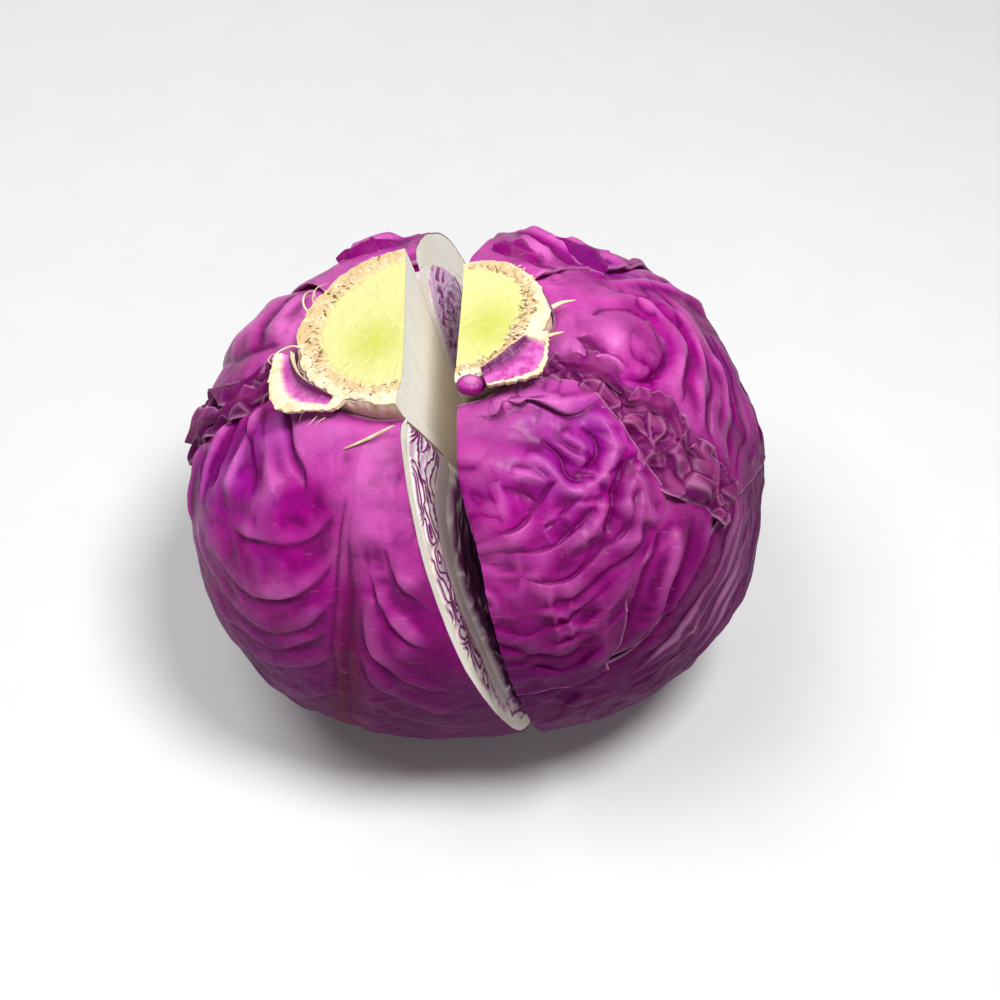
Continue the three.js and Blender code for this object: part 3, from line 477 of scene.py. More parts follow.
RIGHT_LOW_FOLDS = [
    lip(1.8, 5.5, [[78, 70], [84.3, 63], [89.7, 53], [94.2, 44], [99.2, 35], [101.2, 27]]),
    lip(1.0, 3, [[80, 75], [87, 67], [93, 57], [97.6, 47], [103, 36]]),
    lip(1.5, 4, [[86, 79], [93, 69], [99, 58], [105, 45], [108, 33]]),
    lip(1.0, 3.4, [[92, 80], [100, 68], [106, 56], [112, 43]]),
    pouch(1.2, 4, [[97, 84], [106, 70], [113, 56], [119, 43]], 1, 0.3),
    ridge(1.2, 4, [[102, 92], [112, 74], [122, 56]]),
    pouch(1.3, 5, [[104, 96], [114, 80], [124, 62], [130, 48]], 1, 0.3),
    pouch(1.1, 5, [[108, 114], [118, 98], [130, 76]], 1),
    ridge(1.2, 5, [[112, 118], [122, 96], [132, 80]]),
    pouch(1.1, 5, [[106, 20], [114, 15], [124, 13]], 1, 0.4),
    pouch(0.9, 4, [[100, 16], [106, 10], [114, 5]], 1),
    pouch(1.0, 5, [[118, 122], [128, 108], [136, 96]], 1),
]

RIGHT_BACK_FOLDS = [
    ridge(2.4, 3.0, [[33.4, 145], [31.6, 152], [32.4, 159], [33.6, 167]]),
    ridge(2.2, 3.0, [[51, 133], [49.4, 141], [50.6, 150], [49.6, 158]]),
    ridge(-2.8, 2.4, [[39, 140], [38.4, 150], [40.6, 158], [39, 170]]),
    ridge(1.9, 2.6, [[45, 142], [44, 152], [46.6, 164], [45, 174]]),
    ridge(1.8, 4, [[58, 158], [78, 160], [100, 158]]),
    pouch(1.2, 5, [[58, 142], [66, 146], [74, 155]]),
    pouch(1.4, 6, [[84, 142], [94, 148], [102, 157]]),
    pouch(1.2, 5, [[56, 176], [66, 172], [74, 163]]),
    pouch(1.3, 6, [[80, 176], [92, 171], [100, 162]]),
]

LEFT_HEM_LOWER = [
    [24, 83], [30, 80.5], [35, 79], [40, 80], [45, 82], [52, 85], [60, 89], [70, 93], [86, 97],
    [150, 101]
]
LEFT_HEM_UPPER = [
    [24, 98], [31, 95], [36, 93], [42, 94.5], [50, 98.5], [59, 103], [70, 103.5], [86, 99.6],
    [150, 104]
]
LEFT_BACK_BORDER = [[24, 136], [38, 139.5], [52, 137], [68, 141.5], [84, 138.5], [100, 142], [150, 140]]
RIGHT_FRONT_BORDER = [
    [24, 45], [31, 54], [36, 55], [41, 53], [52, 50], [58, 49.5], [61.5, 47], [64.8, 40.5],
    [68, 34], [72, 31], [81, 28], [87, 25.5], [91, 22],
]
RIGHT_TORN_LEFT = [
    [24, 46.5], [31, 55.5], [36, 56.5], [41, 54.5], [52, 51.5], [58, 51.5], [62, 54], [66, 57],
    [70, 59.5], [76, 61],
]
RIGHT_TORN_RIGHT = [[24, 61], [31, 64], [41, 66], [47, 68], [58, 67], [68, 68], [76, 67]]
RIGHT_FOLD_RIGHT = [
    [62, 52], [66, 55.2], [70, 57.6], [74, 57], [76.3, 54.5], [81.3, 45], [87.3, 36.5], [92, 29.5],
]
RIGHT_BACK_BORDER = [[24, 134], [36, 137.5], [50, 134.5], [66, 139.5], [82, 136.5], [100, 140], [150, 138]]
LEFT_UNDER_STEM = [[0, 25.5], [45, 25.8], [70, 27.2], [95, 28.8], [180, 30.2]]
RIGHT_UNDER_STEM = [[0, 24], [60, 23.4], [86, 25], [110, 24.2], [180, 24.6]]
LEFT_LOWER_EDGE = [
    [0, 148], [18, 150], [40, 141], [60, 130], [75, 120], [90, 116], [105, 119], [125, 131],
    [150, 143], [180, 147],
]
RIGHT_FRONT_LOWER = [[0, 95], [8, 94.6], [14, 95], [22, 93.4]]
RIGHT_LOW_UPPER = [
    [0, 96.4], [14, 96.4], [22, 95.2], [29.5, 93.6], [36.5, 89], [45, 83], [54.5, 78.5],
    [61, 77.6], [70, 79], [80, 85], [90, 92], [110, 104], [135, 112],
]
RIGHT_LOWER_EDGE = [[0, 148], [30, 145], [70, 149], [110, 144], [150, 148], [180, 147]]


def shifted(points, by):
    return [[x, y + by] for x, y in points]


def crumple(down, around):
    """The slow waves along a torn rim."""
    return 1.1 * np.sin(down * 0.62 + 1.3 * np.sin(around * 0.4)) + 0.8 * np.sin(around * 1.1 + down * 0.31)


def left_rim_lift(down, around):
    return mix(0.8, -0.5, smoothstep(down, 44, 62)) + 0.8 * crumple(down, around)


def right_rim_lift(down, around):
    return 0.6 + 0.5 * smoothstep(down, 56, 66) + 0.8 * crumple(down, around)


def left_back_lift(down, around):
    return 0.3 + 0.75 * back_rib(down, around)


def leaf_facts(name, half, seed, grid, folds, borders, laps, dips, **more):
    """A leaf's facts, with those of a plain whole leaf where none are given.

    Its borders are the first and last side and the upper and lower end. Each laps so many
    millimetres past its line, and dips so deep there under its neighbour.
    """
    return {"name": name, "half": half, "seed": seed, "grid": grid, "folds": folds, "borders": borders,
            "laps": laps, "dips": dips, "wrinkle": 0.35, "sway": 1.2, "lift": 0.0, "torn": 0.0, "dark": 0.0,
            "rib": None, **more}


# The outer leaves, each from its borders, folds and the measures of a plain leaf that it changes.
LEAVES = [
    leaf_facts(
        "left_leaf_front", LEFT, 3, (300, 190), LEFT_FRONT_FOLDS,
        (CUT_FRONT, LEFT_HEM_LOWER, LEFT_UNDER_STEM, LEFT_LOWER_EDGE), (0, 1.5, 3.4, 0), (0, 1.2, 2.6, 0),
        wrinkle=0.3, sway=1.0,
        rib=[[40, 18.6], [52, 20], [66, 22.6], [80, 27], [99, 35], [116, 43], [130, 50]]),
    leaf_facts(
        "left_torn_rim", LEFT, 5, (220, 50), [],
        (LEFT_HEM_LOWER, LEFT_HEM_UPPER, [[0, 28]], [[0, 80]]), (1.2, 1.2, 1.5, 1), (0.3, 0.4, 0.6, 1.4),
        wrinkle=0.5, dark=1.0, lift=left_rim_lift, torn=1.0),
    leaf_facts(
        "left_leaf_side", LEFT, 7, (150, 100), LEFT_SIDE_FOLDS,
        (LEFT_HEM_UPPER, LEFT_BACK_BORDER, LEFT_UNDER_STEM, LEFT_LOWER_EDGE),
        (1.5, 1.2, 3.4, 0), (1.4, 1.6, 2.6, 0), wrinkle=0.25, sway=1.6, lift=-0.6),
    leaf_facts(
        "left_leaf_back", LEFT, 9, (160, 100), LEFT_BACK_FOLDS,
        (LEFT_BACK_BORDER, CUT_BACK, LEFT_UNDER_STEM, LEFT_LOWER_EDGE), (1.4, 0, 2, 0), (-0.5, 0, 2, 0),
        wrinkle=0.3, sway=1.6, lift=left_back_lift),
    leaf_facts(
        "right_leaf_front", RIGHT, 11, (230, 190), RIGHT_FRONT_FOLDS,
        (CUT_FRONT, RIGHT_FRONT_BORDER, RIGHT_UNDER_STEM, RIGHT_FRONT_LOWER),
        (0, 1.2, 2.4, 1.2), (0, 0.2, 1.6, -0.3), wrinkle=1.0, sway=2.0, lift=0.6, torn=0.12),
    leaf_facts(
        "right_torn_rim", RIGHT, 13, (230, 60), [],
        (RIGHT_TORN_LEFT, RIGHT_TORN_RIGHT, [[0, 27]], [[0, 75]]),
        (2.2, 1.2, 4.5, 2.6), (0.5, 0.4, 0.8, 0.5), wrinkle=0.5, lift=right_rim_lift, torn=1.0),
    leaf_facts(
        "right_leaf_fold", RIGHT, 15, (130, 60), RIGHT_FOLD_FOLDS,
        (shifted(RIGHT_FRONT_BORDER, 1.4), RIGHT_FOLD_RIGHT, [[0, 64]], [[0, 91.5]]),
        (1.6, 1.0, 9, 0), (1.2, 1.1, 2.4, 1), wrinkle=0.7, sway=1.8, lift=0.2, torn=0.25),
    leaf_facts(
        "right_leaf_low", RIGHT, 17, (180, 280), RIGHT_LOW_FOLDS,
        (CUT_FRONT, [[0, 138]], RIGHT_LOW_UPPER, RIGHT_LOWER_EDGE), (0, 1.2, 1.6, 0), (0, 0.6, 1.2, 0),
        wrinkle=0.6, sway=1.8, lift=-0.4, torn=0.45),
    leaf_facts(
        "right_leaf_side", RIGHT, 19, (230, 190), RIGHT_SIDE_FOLDS,
        (shifted(RIGHT_TORN_RIGHT, 1.3), RIGHT_BACK_BORDER, RIGHT_UNDER_STEM,
         shifted(RIGHT_LOW_UPPER, -1.6)),
        (1.4, 1.2, 5.2, 1), (0.8, 1.4, 1.2, -0.4), wrinkle=0.55, sway=2.2, lift=0.3),
    leaf_facts(
        "right_leaf_back", RIGHT, 21, (160, 110), RIGHT_BACK_FOLDS,
        (shifted(RIGHT_BACK_BORDER, 1.4), CUT_BACK, RIGHT_UNDER_STEM, RIGHT_LOWER_EDGE),
        (1.4, 0, 4.6, 0), (-0.5, 0, 1, 0), wrinkle=0.6, sway=1.8, lift=0.5),
]
# A leaf is dry and torn from this much on; the rounds on_leaf takes to agree on its two angles;
# where painted shade darkens the leaves towards the crown and a painted highlight makes them paler
# towards the stem, by the angle down from the stem; and how often the height is smoothed to find its
# folds, its wrinkles and its big swells.
TORN_FROM = 0.5
ROUNDS_TO_SETTLE = 9
LOW_SHADE_SPAN = (44, 104)
STEM_HIGHLIGHT_SPAN = (44, 26)
RELIEF_BLUR, FINE_BLUR, BROAD_BLUR = 70, 12, 420
# A value for each point, which the leaf's material reads, and what it is where nothing else is said.
# crest and stem mark painted highlight, crest also a real waxy bloom. crease and low mark painted shade, low
# also a dark leaf's own darkness. rib marks the red midrib with painted shade in its groove.
LEAF_MASKS = {"crest": 0, "crease": 0, "edge": 0, "low": 0, "cut": 0, "depth": 9, "torn": 0, "stem": 0,
              "rib": 0}
# The walls round a leaf: how far below its outer face each ring lies, and how far inside its border.
WALL_DROPS = (0.45, 1.0, 1.25)
WALL_INSETS = (0.0, 0.25, 1.3, 1.3)
LEAF_INNER_FACE = -0.62
INNER_STEP = 10


def on_leaf(leaf, v, u):
    """The angles of a place on a leaf, and its width and height there in millimetres."""
    first, last, upper, lower = leaf["borders"]
    lap = leaf["laps"]
    around = mix(curve(first, 60), curve(last, 60), u) + 0 * v
    for _ in range(ROUNDS_TO_SETTLE):
        top = curve(upper, around) - lap[2] / ARC
        bottom = curve(lower, around) + lap[3] / ARC
        down = mix(top, bottom, v)
        ring = ARC * np.sin(np.radians(down))
        start, stop = curve(first, down), curve(last, down)
        start = np.where(start > 0, start - lap[0] / ring, 0)
        stop = np.where(stop < 180, stop + lap[1] / ring, 180)
        around = mix(start, stop, u)
    return down, around, (stop - start) * ring, (bottom - top) * ARC


def torn_relief(flat, seed):
    """The plates of dry torn leaf at two sizes: their height, cracks and pale edges."""
    big, crack, pale = plates(flat, 9, seed)
    small, fine_crack, fine_pale = plates(flat, 4.2, seed + 50)
    apart = smoothstep(noise(flat, 8, seed + 60), -0.1, 0.4)
    rough = (0.85 * big, 0.4 * apart * small, 0.2 * noise(flat, 3, seed + 4))
    return rough, np.maximum(crack, 0.7 * apart * fine_crack), np.maximum(0.5 * pale, 0.3 * apart * fine_pale)


def leaf_heights(leaf, v, u, fold_depth):
    """The outer face of a leaf: its angles, its height over the leaf's foot, and its wear."""
    down, around, wide, tall = on_leaf(leaf, v, u)
    flat = head_point(leaf["half"], down, around, 0 * down)
    seed, sway = leaf["seed"], leaf["sway"]
    sway_down, sway_round = sway * noise(flat, 12, seed + 8), sway * noise(flat, 12, seed + 9)
    height, push_down, push_round, pale = fold_surface(
        leaf["folds"], down + sway_down, around + sway_round, fold_depth)
    soft = 0.5 * noise(flat, 12, seed) + 0.2 * noise(flat, 5.5, seed + 1) + 0.05 * noise(flat, 2.4, seed + 2)
    soft = soft + leaf["wrinkle"] * wrinkles(flat, 8.5, seed + 20)
    crack = 0 * down
    if leaf["torn"] > TORN_FROM:
        rough, crack, pale = torn_relief(flat, seed)
        for part in rough:
            soft = soft + part
    lift = leaf["lift"]
    height = height + (lift(down, around) if callable(lift) else lift) + soft
    nearest = np.full(down.shape, 99.0)
    distances = (u * wide, (1 - u) * wide, v * tall, (1 - v) * tall)
    for distance, dip, line in zip(distances, leaf["dips"], leaf["borders"]):
        if line not in (CUT_FRONT, CUT_BACK):
            height = height - dip * bell(distance / 2.4)
            nearest = np.minimum(nearest, distance)
    height = height - 0.5 * bell(nearest / 0.7)
    out = np.maximum(leaf_thickness(down) + height, 1.0)
    around = np.clip(around + push_round, np.minimum(around, 0), 180)
    return down + push_down, around, out, nearest, crack, pale


def over_foot(half, down, around, level):
    """A point `level` millimetres over the foot of the leaf there."""
    return head_point(half, down, around, swell(half, down, around) - leaf_thickness(down) + level)


def leaf_piece(leaf, fold_depth):
    """A leaf as a closed plate: a finely folded outer face, its edges, and a plain inner face."""
    half, (rows, columns) = leaf["half"], leaf["grid"]
    v, u = np.linspace(0, 1, rows + 1)[:, None], np.linspace(0, 1, columns + 1)[None, :]
    down, around, out, nearest, crack, pale = leaf_heights(leaf, v, u, fold_depth)
    plain_down, plain_round, wide, tall = on_leaf(leaf, v, u)
    cut_first, cut_last = leaf["borders"][0] == CUT_FRONT, leaf["borders"][1] == CUT_BACK
    if cut_first:
        around[:, 0] = 0
    if cut_last:
        around[:, -1] = 180
    outer = over_foot(half, down, around, out)
    relief, fine, broad = (out - blurred(out, passes) for passes in (RELIEF_BLUR, FINE_BLUR, BROAD_BLUR))
    # Painted highlight: crests are paler, partly for a real waxy bloom and partly for the light they catch.
    crest = np.clip(0.7 * relief / 0.9, 0, 0.75) + np.clip(0.5 * broad / 1.8, 0, 0.5)
    # Painted shade: creases are darker. The cracks of torn leaf are added to them below.
    crease = np.clip(-relief / 0.8, 0, 1) + np.clip(-fine / 0.16, 0, 0.8)
    # The midrib: its own red, darkened with painted shade in its groove.
    rib = 0
    if leaf["rib"]:
        away, _, along, _, _ = near_line(smooth_line(leaf["rib"], 24), down.ravel(), around.ravel())
        away, along = away.reshape(down.shape), along.reshape(down.shape)
        rib = bell(away / mix(2.2, 5.5, along)) * smoothstep(along, 0.02, 0.35)
    # Painted shade: the leaves darken low down, towards the crown. A dark leaf is dark all over through the
    # same mask.
    low = smoothstep(plain_down, *LOW_SHADE_SPAN)
    parts = [grid_part(stand(half, outer), {
        **LEAF_MASKS, "crest": np.clip(crest, 0, 1), "crease": np.clip(crease + crack, 0, 1),
        "edge": np.maximum(bell(nearest / 0.5), pale), "low": np.maximum(low, leaf["dark"]),
        # Painted highlight: the leaves grow paler towards the stem.
        "torn": leaf["torn"], "stem": smoothstep(plain_down, *STEM_HIGHLIGHT_SPAN), "rib": rib})]

    def kept_inside(across, along, inset_across, inset_along):
        across = np.clip(across, 0 if cut_first else inset_across, 1 if cut_last else 1 - inset_across)
        return on_leaf(leaf, np.clip(along, inset_along, 1 - inset_along), across)[:2]

    edge_out = border(out)
    cut_here = np.zeros(len(edge_out))
    if cut_first:
        cut_here[:rows] = 1
    if cut_last:
        cut_here[rows + columns:2 * rows + columns] = 1
    floor = LEAF_INNER_FACE - rib_pocket(half, border(plain_down), border(plain_round))
    walls, depths = [border(outer)], [0 * edge_out]
    levels = [np.maximum(edge_out - drop, floor + 0.1) for drop in WALL_DROPS] + [floor]
    for level, inset in zip(levels, WALL_INSETS):
        inset = np.where(cut_here > 0, 0, inset)
        d, r = kept_inside(border(u + 0 * v), border(v + 0 * u), inset / border(wide), inset / border(tall))
        at, turn = np.where(cut_here > 0, border(down), d), np.where(cut_here > 0, border(around), r)
        walls.append(over_foot(half, at, turn, level))
        depths.append(edge_out - level)
    foot = walls[-1]
    depth = np.stack([closed(ring) for ring in depths])
    # The walls get a little painted shade through the crease mask.
    parts.append(grid_part(stand(half, np.stack([closed(ring) for ring in walls])), {
        **LEAF_MASKS, "crease": 0.2, "edge": np.clip(1 - depth / 1.2, 0, 1), "low": closed(border(low)),
        "cut": closed(cut_here), "depth": depth, "torn": leaf["torn"]}, flip=True))
    inner_v = np.linspace(0, 1, rows // INNER_STEP + 1)[:, None]
    inner_u = np.linspace(0, 1, columns // INNER_STEP + 1)[None, :]
    _, _, inner_wide, inner_tall = on_leaf(leaf, inner_v, inner_u)
    zero, inset = 0 * inner_wide, WALL_INSETS[-1]
    d, r = kept_inside(inner_u + zero, inner_v + zero, inset / inner_wide, inset / inner_tall)
    inner = over_foot(half, d, r, LEAF_INNER_FACE - rib_pocket(half, d, r))
    parts.append(stitched_part(stand(half, foot), stand(half, inner), leaf["torn"]))
    return parts


def border(grid):
    """The outermost values of a grid, once round it."""
    return np.concatenate([grid[:-1, 0], grid[-1, :-1], grid[:0:-1, -1], grid[0, :0:-1]])


def closed(ring):
    return np.concatenate([ring, ring[:1]])


def grid_part(points, masks, flip=False):
    """A part of a mesh from rows and columns of points, with a value of each mask per point."""
    shape = points.shape[:2]
    at = np.arange(shape[0] * shape[1]).reshape(shape)
    faces = np.stack([at[:-1, :-1], at[1:, :-1], at[1:, 1:], at[:-1, 1:]], -1).reshape(-1, 4)
    masks = {key: np.broadcast_to(mask, shape).ravel() for key, mask in masks.items()}
    return points.reshape(-1, 3), [faces[:, ::-1] if flip else faces], masks


def stitched_part(ring, inner, torn):
    """The plain inner face: a coarse grid, joined to the fine ring of points round it."""
    count = len(ring)
    rows, columns = inner.shape[:2]
    at = count + np.arange(rows * columns).reshape(rows, columns)
    coarse_ring = border(at)
    triangles = []
    middle = INNER_STEP // 2
    for k, a in enumerate(coarse_ring):
        b = coarse_ring[(k + 1) % len(coarse_ring)]
        for i in range(INNER_STEP):
            start, stop = INNER_STEP * k + i, (INNER_STEP * k + i + 1) % count
            triangles.append((start, a if i < middle else b, stop))
        triangles.append(((INNER_STEP * k + middle) % count, a, b))
    points = np.concatenate([ring, inner.reshape(-1, 3)])
    masks = {key: np.full(len(points), float(value)) for key, value in {**LEAF_MASKS, "torn": torn}.items()}
    faces = np.stack([at[:-1, :-1], at[:-1, 1:], at[1:, 1:], at[1:, :-1]], -1).reshape(-1, 4)
    return points, [faces, np.array(triangles)], masks


def make_piece(name, parts, material, replaces=None, flip=False):
    """One object from parts of a mesh, in metres; it rides on the head."""
    points, loops, starts, masks = [], [], [], {}
    count = total = 0
    for part_points, part_faces, part_masks in parts:
        for faces in part_faces:
            size = faces.shape[1]
            loops.append(((faces[:, ::-1] if flip else faces) + count).ravel())
            starts.append(total + size * np.arange(len(faces)))
            total += size * len(faces)
        points.append(part_points)
        for key in part_masks:
            masks.setdefault(key, []).append(part_masks[key])
        count += len(part_points)
    points, loops, starts = np.concatenate(points), np.concatenate(loops), np.concatenate(starts)
    mesh = bpy.data.meshes.new(name)
    mesh.vertices.add(len(points))
    mesh.vertices.foreach_set("co", (points * METRES_PER_MM).astype(np.float32).ravel())
    mesh.loops.add(len(loops))
    mesh.loops.foreach_set("vertex_index", loops.astype(np.int32))
    mesh.polygons.add(len(starts))
    mesh.polygons.foreach_set("loop_start", starts.astype(np.int32))
    mesh.polygons.foreach_set("use_smooth", np.ones(len(starts), bool))
    mesh.update(calc_edges=True)
    for key, values in masks.items():
        layer = mesh.attributes.new(key, "FLOAT", "POINT")
        layer.data.foreach_set("value", np.concatenate(values).astype(np.float32))
    piece = bpy.data.objects.new(name, mesh)
    bpy.context.scene.collection.objects.link(piece)
    mesh.materials.append(material)
    if replaces:
        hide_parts(replaces)
    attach(piece, "root")
    return piece


# Materials. A node group gives each effect that several materials share.


class Nodes:
    """A shader tree that is being filled, with a short call for each kind of node it needs."""

    def __init__(self, tree):
        self.tree = tree

    def put(self, kind, inputs=None, **settings):
        """A node with its settings, and its inputs set to values or linked from sockets."""
        node = self.tree.nodes.new(kind)
        for key, value in settings.items():
            setattr(node, key, value)
        for key, value in (inputs or {}).items():
            if isinstance(value, bpy.types.NodeSocket):
                self.tree.links.new(value, node.inputs[key])
            else:
                node.inputs[key].default_value = value
        return node

    def blend(self, amount, a, b):
        a, b = (c if isinstance(c, bpy.types.NodeSocket) else (*c[:3], 1.0) for c in (a, b))
        return self.put("ShaderNodeMix", {0: amount, 6: a, 7: b}, data_type="RGBA").outputs[2]

    def over(self, colour, *coats):
        """A colour under coats of (amount, colour), laid on in turn."""
        for amount, coat in coats:
            colour = self.blend(amount, colour, coat)
        return colour

    def maths(self, operation, *values):
        return self.put("ShaderNodeMath", dict(enumerate(values)), operation=operation).outputs[0]

    def times(self, a, b):
        return self.maths("MULTIPLY", a, b)

    def total(self, first, *more):
        for value in more:
            first = self.maths("ADD", first, value)
        return first

    def spread(self, value, low, high, to_low=0.0, to_high=1.0):
        """A value carried smoothly from one range to another."""
        return self.put("ShaderNodeMapRange", {
            "Value": value, "From Min": low, "From Max": high, "To Min": to_low, "To Max": to_high},
            interpolation_type="SMOOTHSTEP").outputs["Result"]

    def masks(self, names):
        """The value of each of the mesh's masks."""
        return [self.put("ShaderNodeAttribute", attribute_name=name).outputs["Fac"] for name in names]

    def noise(self, at, scale, detail, roughness=0.5):
        return self.put("ShaderNodeTexNoise", {
            "Vector": at, "Scale": scale, "Detail": detail, "Roughness": roughness}).outputs["Fac"]

    def group(self, name, inputs):
        """The outputs of a shared group, which is built on its first use."""
        tree = bpy.data.node_groups.get(name) or GROUPS[name](name)
        return self.put("ShaderNodeGroup", inputs, node_tree=tree).outputs


def new_group(name, factor, default):
    """An empty node group that takes a place and one factor: its nodes, and those two sockets."""
    tree = bpy.data.node_groups.new(name, "ShaderNodeTree")
    tree.interface.new_socket("Vector", in_out="INPUT", socket_type="NodeSocketVector")
    tree.interface.new_socket(factor, in_out="INPUT", socket_type="NodeSocketFloat").default_value = default
    start = tree.nodes.new("NodeGroupInput")
    return Nodes(tree), start.outputs["Vector"], start.outputs[factor]


def close_group(nodes, results):
    """The group's tree, with an output for each result."""
    for label in results:
        nodes.tree.interface.new_socket(label, in_out="OUTPUT", socket_type="NodeSocketFloat")
    nodes.put("NodeGroupOutput", results)
    return nodes.tree


def skin_group(name):
    """Waxy skin: a fine leathery height, slow mottling and drifts, and a few pale scratches."""
    n, place, fineness = new_group(name, "Fineness", 1.0)
    at = n.put("ShaderNodeVectorMath", {0: place, "Scale": fineness}, operation="SCALE").outputs[0]
    stretched = n.put("ShaderNodeMapping", {
        "Vector": at, "Rotation": (0.5, 0.3, 0.9), "Scale": (1.0, 14.0, 9.0)}).outputs[0]
    return close_group(n, {
        "Height": n.total(n.times(n.noise(at, 950.0, 5.0, 0.62), 0.5), n.times(n.noise(at, 260.0, 3.0), 0.5)),
        "Mottle": n.noise(at, 70.0, 6.0, 0.6),
        "Scratch": n.spread(n.noise(stretched, 80.0, 2.0), 0.66, 0.74),
        "Drift": n.noise(at, 24.0, 2.0),
    })


def fibre_group(name):
    """Plant fibre: long streaks down the stem, and small dark flecks."""
    n, place, stretch = new_group(name, "Stretch", 8.0)
    apart = n.put("ShaderNodeSeparateXYZ", {0: place}).outputs
    at = n.put("ShaderNodeCombineXYZ", {
        0: apart["X"], 1: apart["Y"], 2: n.maths("DIVIDE", apart["Z"], stretch)}).outputs[0]
    streak = n.noise(at, 330.0, 5.0, 0.65)
    fleck = n.put("ShaderNodeTexVoronoi", {"Vector": place, "Scale": 210.0}).outputs["Distance"]
    return close_group(n, {
        "Height": n.total(n.times(streak, 0.7), n.times(n.noise(place, 1400.0, 4.0), 0.3)),
        "Streak": streak,
        "Fleck": n.spread(fleck, 0.11, 0.06),
    })


def leaf_surface(n, place, look):
    """Leaf skin: painted highlight on crests over a real waxy bloom and towards the stem, painted sheen in
    drifts, painted shade in creases and low down, dull where torn, white where cut.
    """
    skin = n.group("waxy_skin", {"Vector": place, "Fineness": 1.0})
    mottle, drift = skin["Mottle"], skin["Drift"]
    crest, crease, edge, low, cut, depth, torn, stem, rib = n.masks(LEAF_MASKS)
    uneven = n.spread(mottle, 0.38, 0.64)
    # Painted sheen: pale patches where the drift noise is high, fading out low down.
    sheen = n.times(n.spread(drift, 0.5, 0.34, 0.0, 0.3), n.spread(low, 0.35, 0.0))
    # Painted highlight, over a real waxy bloom: crests made paler, less so low down.
    high = n.times(crest, n.spread(mottle, 0.3, 0.62, 0.66, 0.32))
    pale = n.times(high, n.spread(low, 0.0, 0.8, 1.0, 0.14))
    # Over the leaf's own tones: painted sheen, painted shade low down, the red midrib with painted shade in
    # its groove, painted highlights on crests and towards the stem, and painted shade in creases.
    fresh = n.over(
        look.leaf_colour,
        (uneven, look.leaf_deep_colour),
        (n.spread(drift, 0.5, 0.72, 0.0, 0.8), look.leaf_violet_colour),
        (sheen, look.pale_pink_and_highlight_colour),
        (n.times(low, 0.93), look.dark_leaf_and_shade_colour),
        (n.times(rib, 0.92), look.rib_red_and_shade_colour),
        (pale, look.pale_pink_and_highlight_colour),
        (n.times(stem, 0.26), look.pale_pink_and_highlight_colour),
        (n.times(crease, 0.72), look.crease_shade_colour))
    # The torn leaf's own tones, with painted shade in its creases and cracks and low down.
    dry = n.over(
        look.torn_colour,
        (uneven, look.torn_dark_colour),
        (n.times(crease, 0.85), look.crease_shade_colour),
        (n.times(low, 0.82), look.dark_leaf_and_shade_colour))
    flesh = n.over(
        look.flesh_colour,
        (n.spread(mottle, 0.4, 0.7), look.flesh_warm_colour),
        (n.spread(depth, 0.6, 0.25), look.leaf_deep_colour))
    colour = n.over(
        fresh,
        (n.times(torn, n.spread(mottle, 0.35, 0.6, 0.95, 0.65)), dry),
        (n.times(skin["Scratch"], 0.1), look.edge_colour),
        (n.times(edge, 0.45), look.edge_colour),
        (cut, flesh))
    rough = n.total(
        n.spread(mottle, 0.3, 0.7, 0.25, 0.36), n.times(torn, 0.1), n.times(low, 0.12), n.times(cut, 0.12))
    waxy = n.times(n.spread(low, 0.7, 0.0, 0.0, 0.3), n.spread(torn, 0.9, 0.2, 0.1, 1.0))
    return {"Base Color": colour, "Roughness": rough, "Specular IOR Level": 0.04, "Coat Weight": waxy,
            "Coat Roughness": 0.33, "Coat IOR": 1.42}, (skin["Height"], 0.0007, 0.9)


def layers_surface(n, place, look):
    """The cut face: white leaf flesh, purple skins between the layers, and painted shade in the dark hollows.
    """
    skin = n.group("waxy_skin", {"Vector": place, "Fineness": 1.3})
    mottle = skin["Mottle"]
    membrane, hollow, tinge, layer, rate, ribbon, crumpled, outside = n.masks(HEART_MASKS)
    off = n.maths("ABSOLUTE", n.maths("SUBTRACT", layer, n.maths("ROUND", layer)))
    away = n.maths("DIVIDE", off, rate)
    folded = n.blend(n.spread(away, 1.5, 0.5), look.leaf_deep_colour, look.lilac_colour)
    colour = n.over(
        look.flesh_colour,
        (n.spread(mottle, 0.38, 0.66), look.flesh_warm_colour),
        (tinge, look.lilac_colour),
        (n.times(n.spread(away, 0.85, 0.45), ribbon), look.membrane_colour),
        # Painted shade in the gaps at the middle of each skin.
        (n.times(n.spread(away, 0.34, 0.14, 0.0, 0.75), ribbon), look.hollow_shade_colour),
        (n.times(crumpled, ribbon), folded),
        (membrane, look.membrane_colour),
        # Painted shade deep in the cut and in the core's pocket.
        (hollow, look.hollow_shade_colour),
        (outside, n.blend(n.spread(mottle, 0.38, 0.64), look.dark_leaf_and_shade_colour, look.leaf_deep_colour)))
    rough = n.spread(mottle, 0.3, 0.7, 0.38, 0.52)
    return {"Base Color": colour, "Roughness": rough}, (skin["Height"], 0.0003, 0.7)


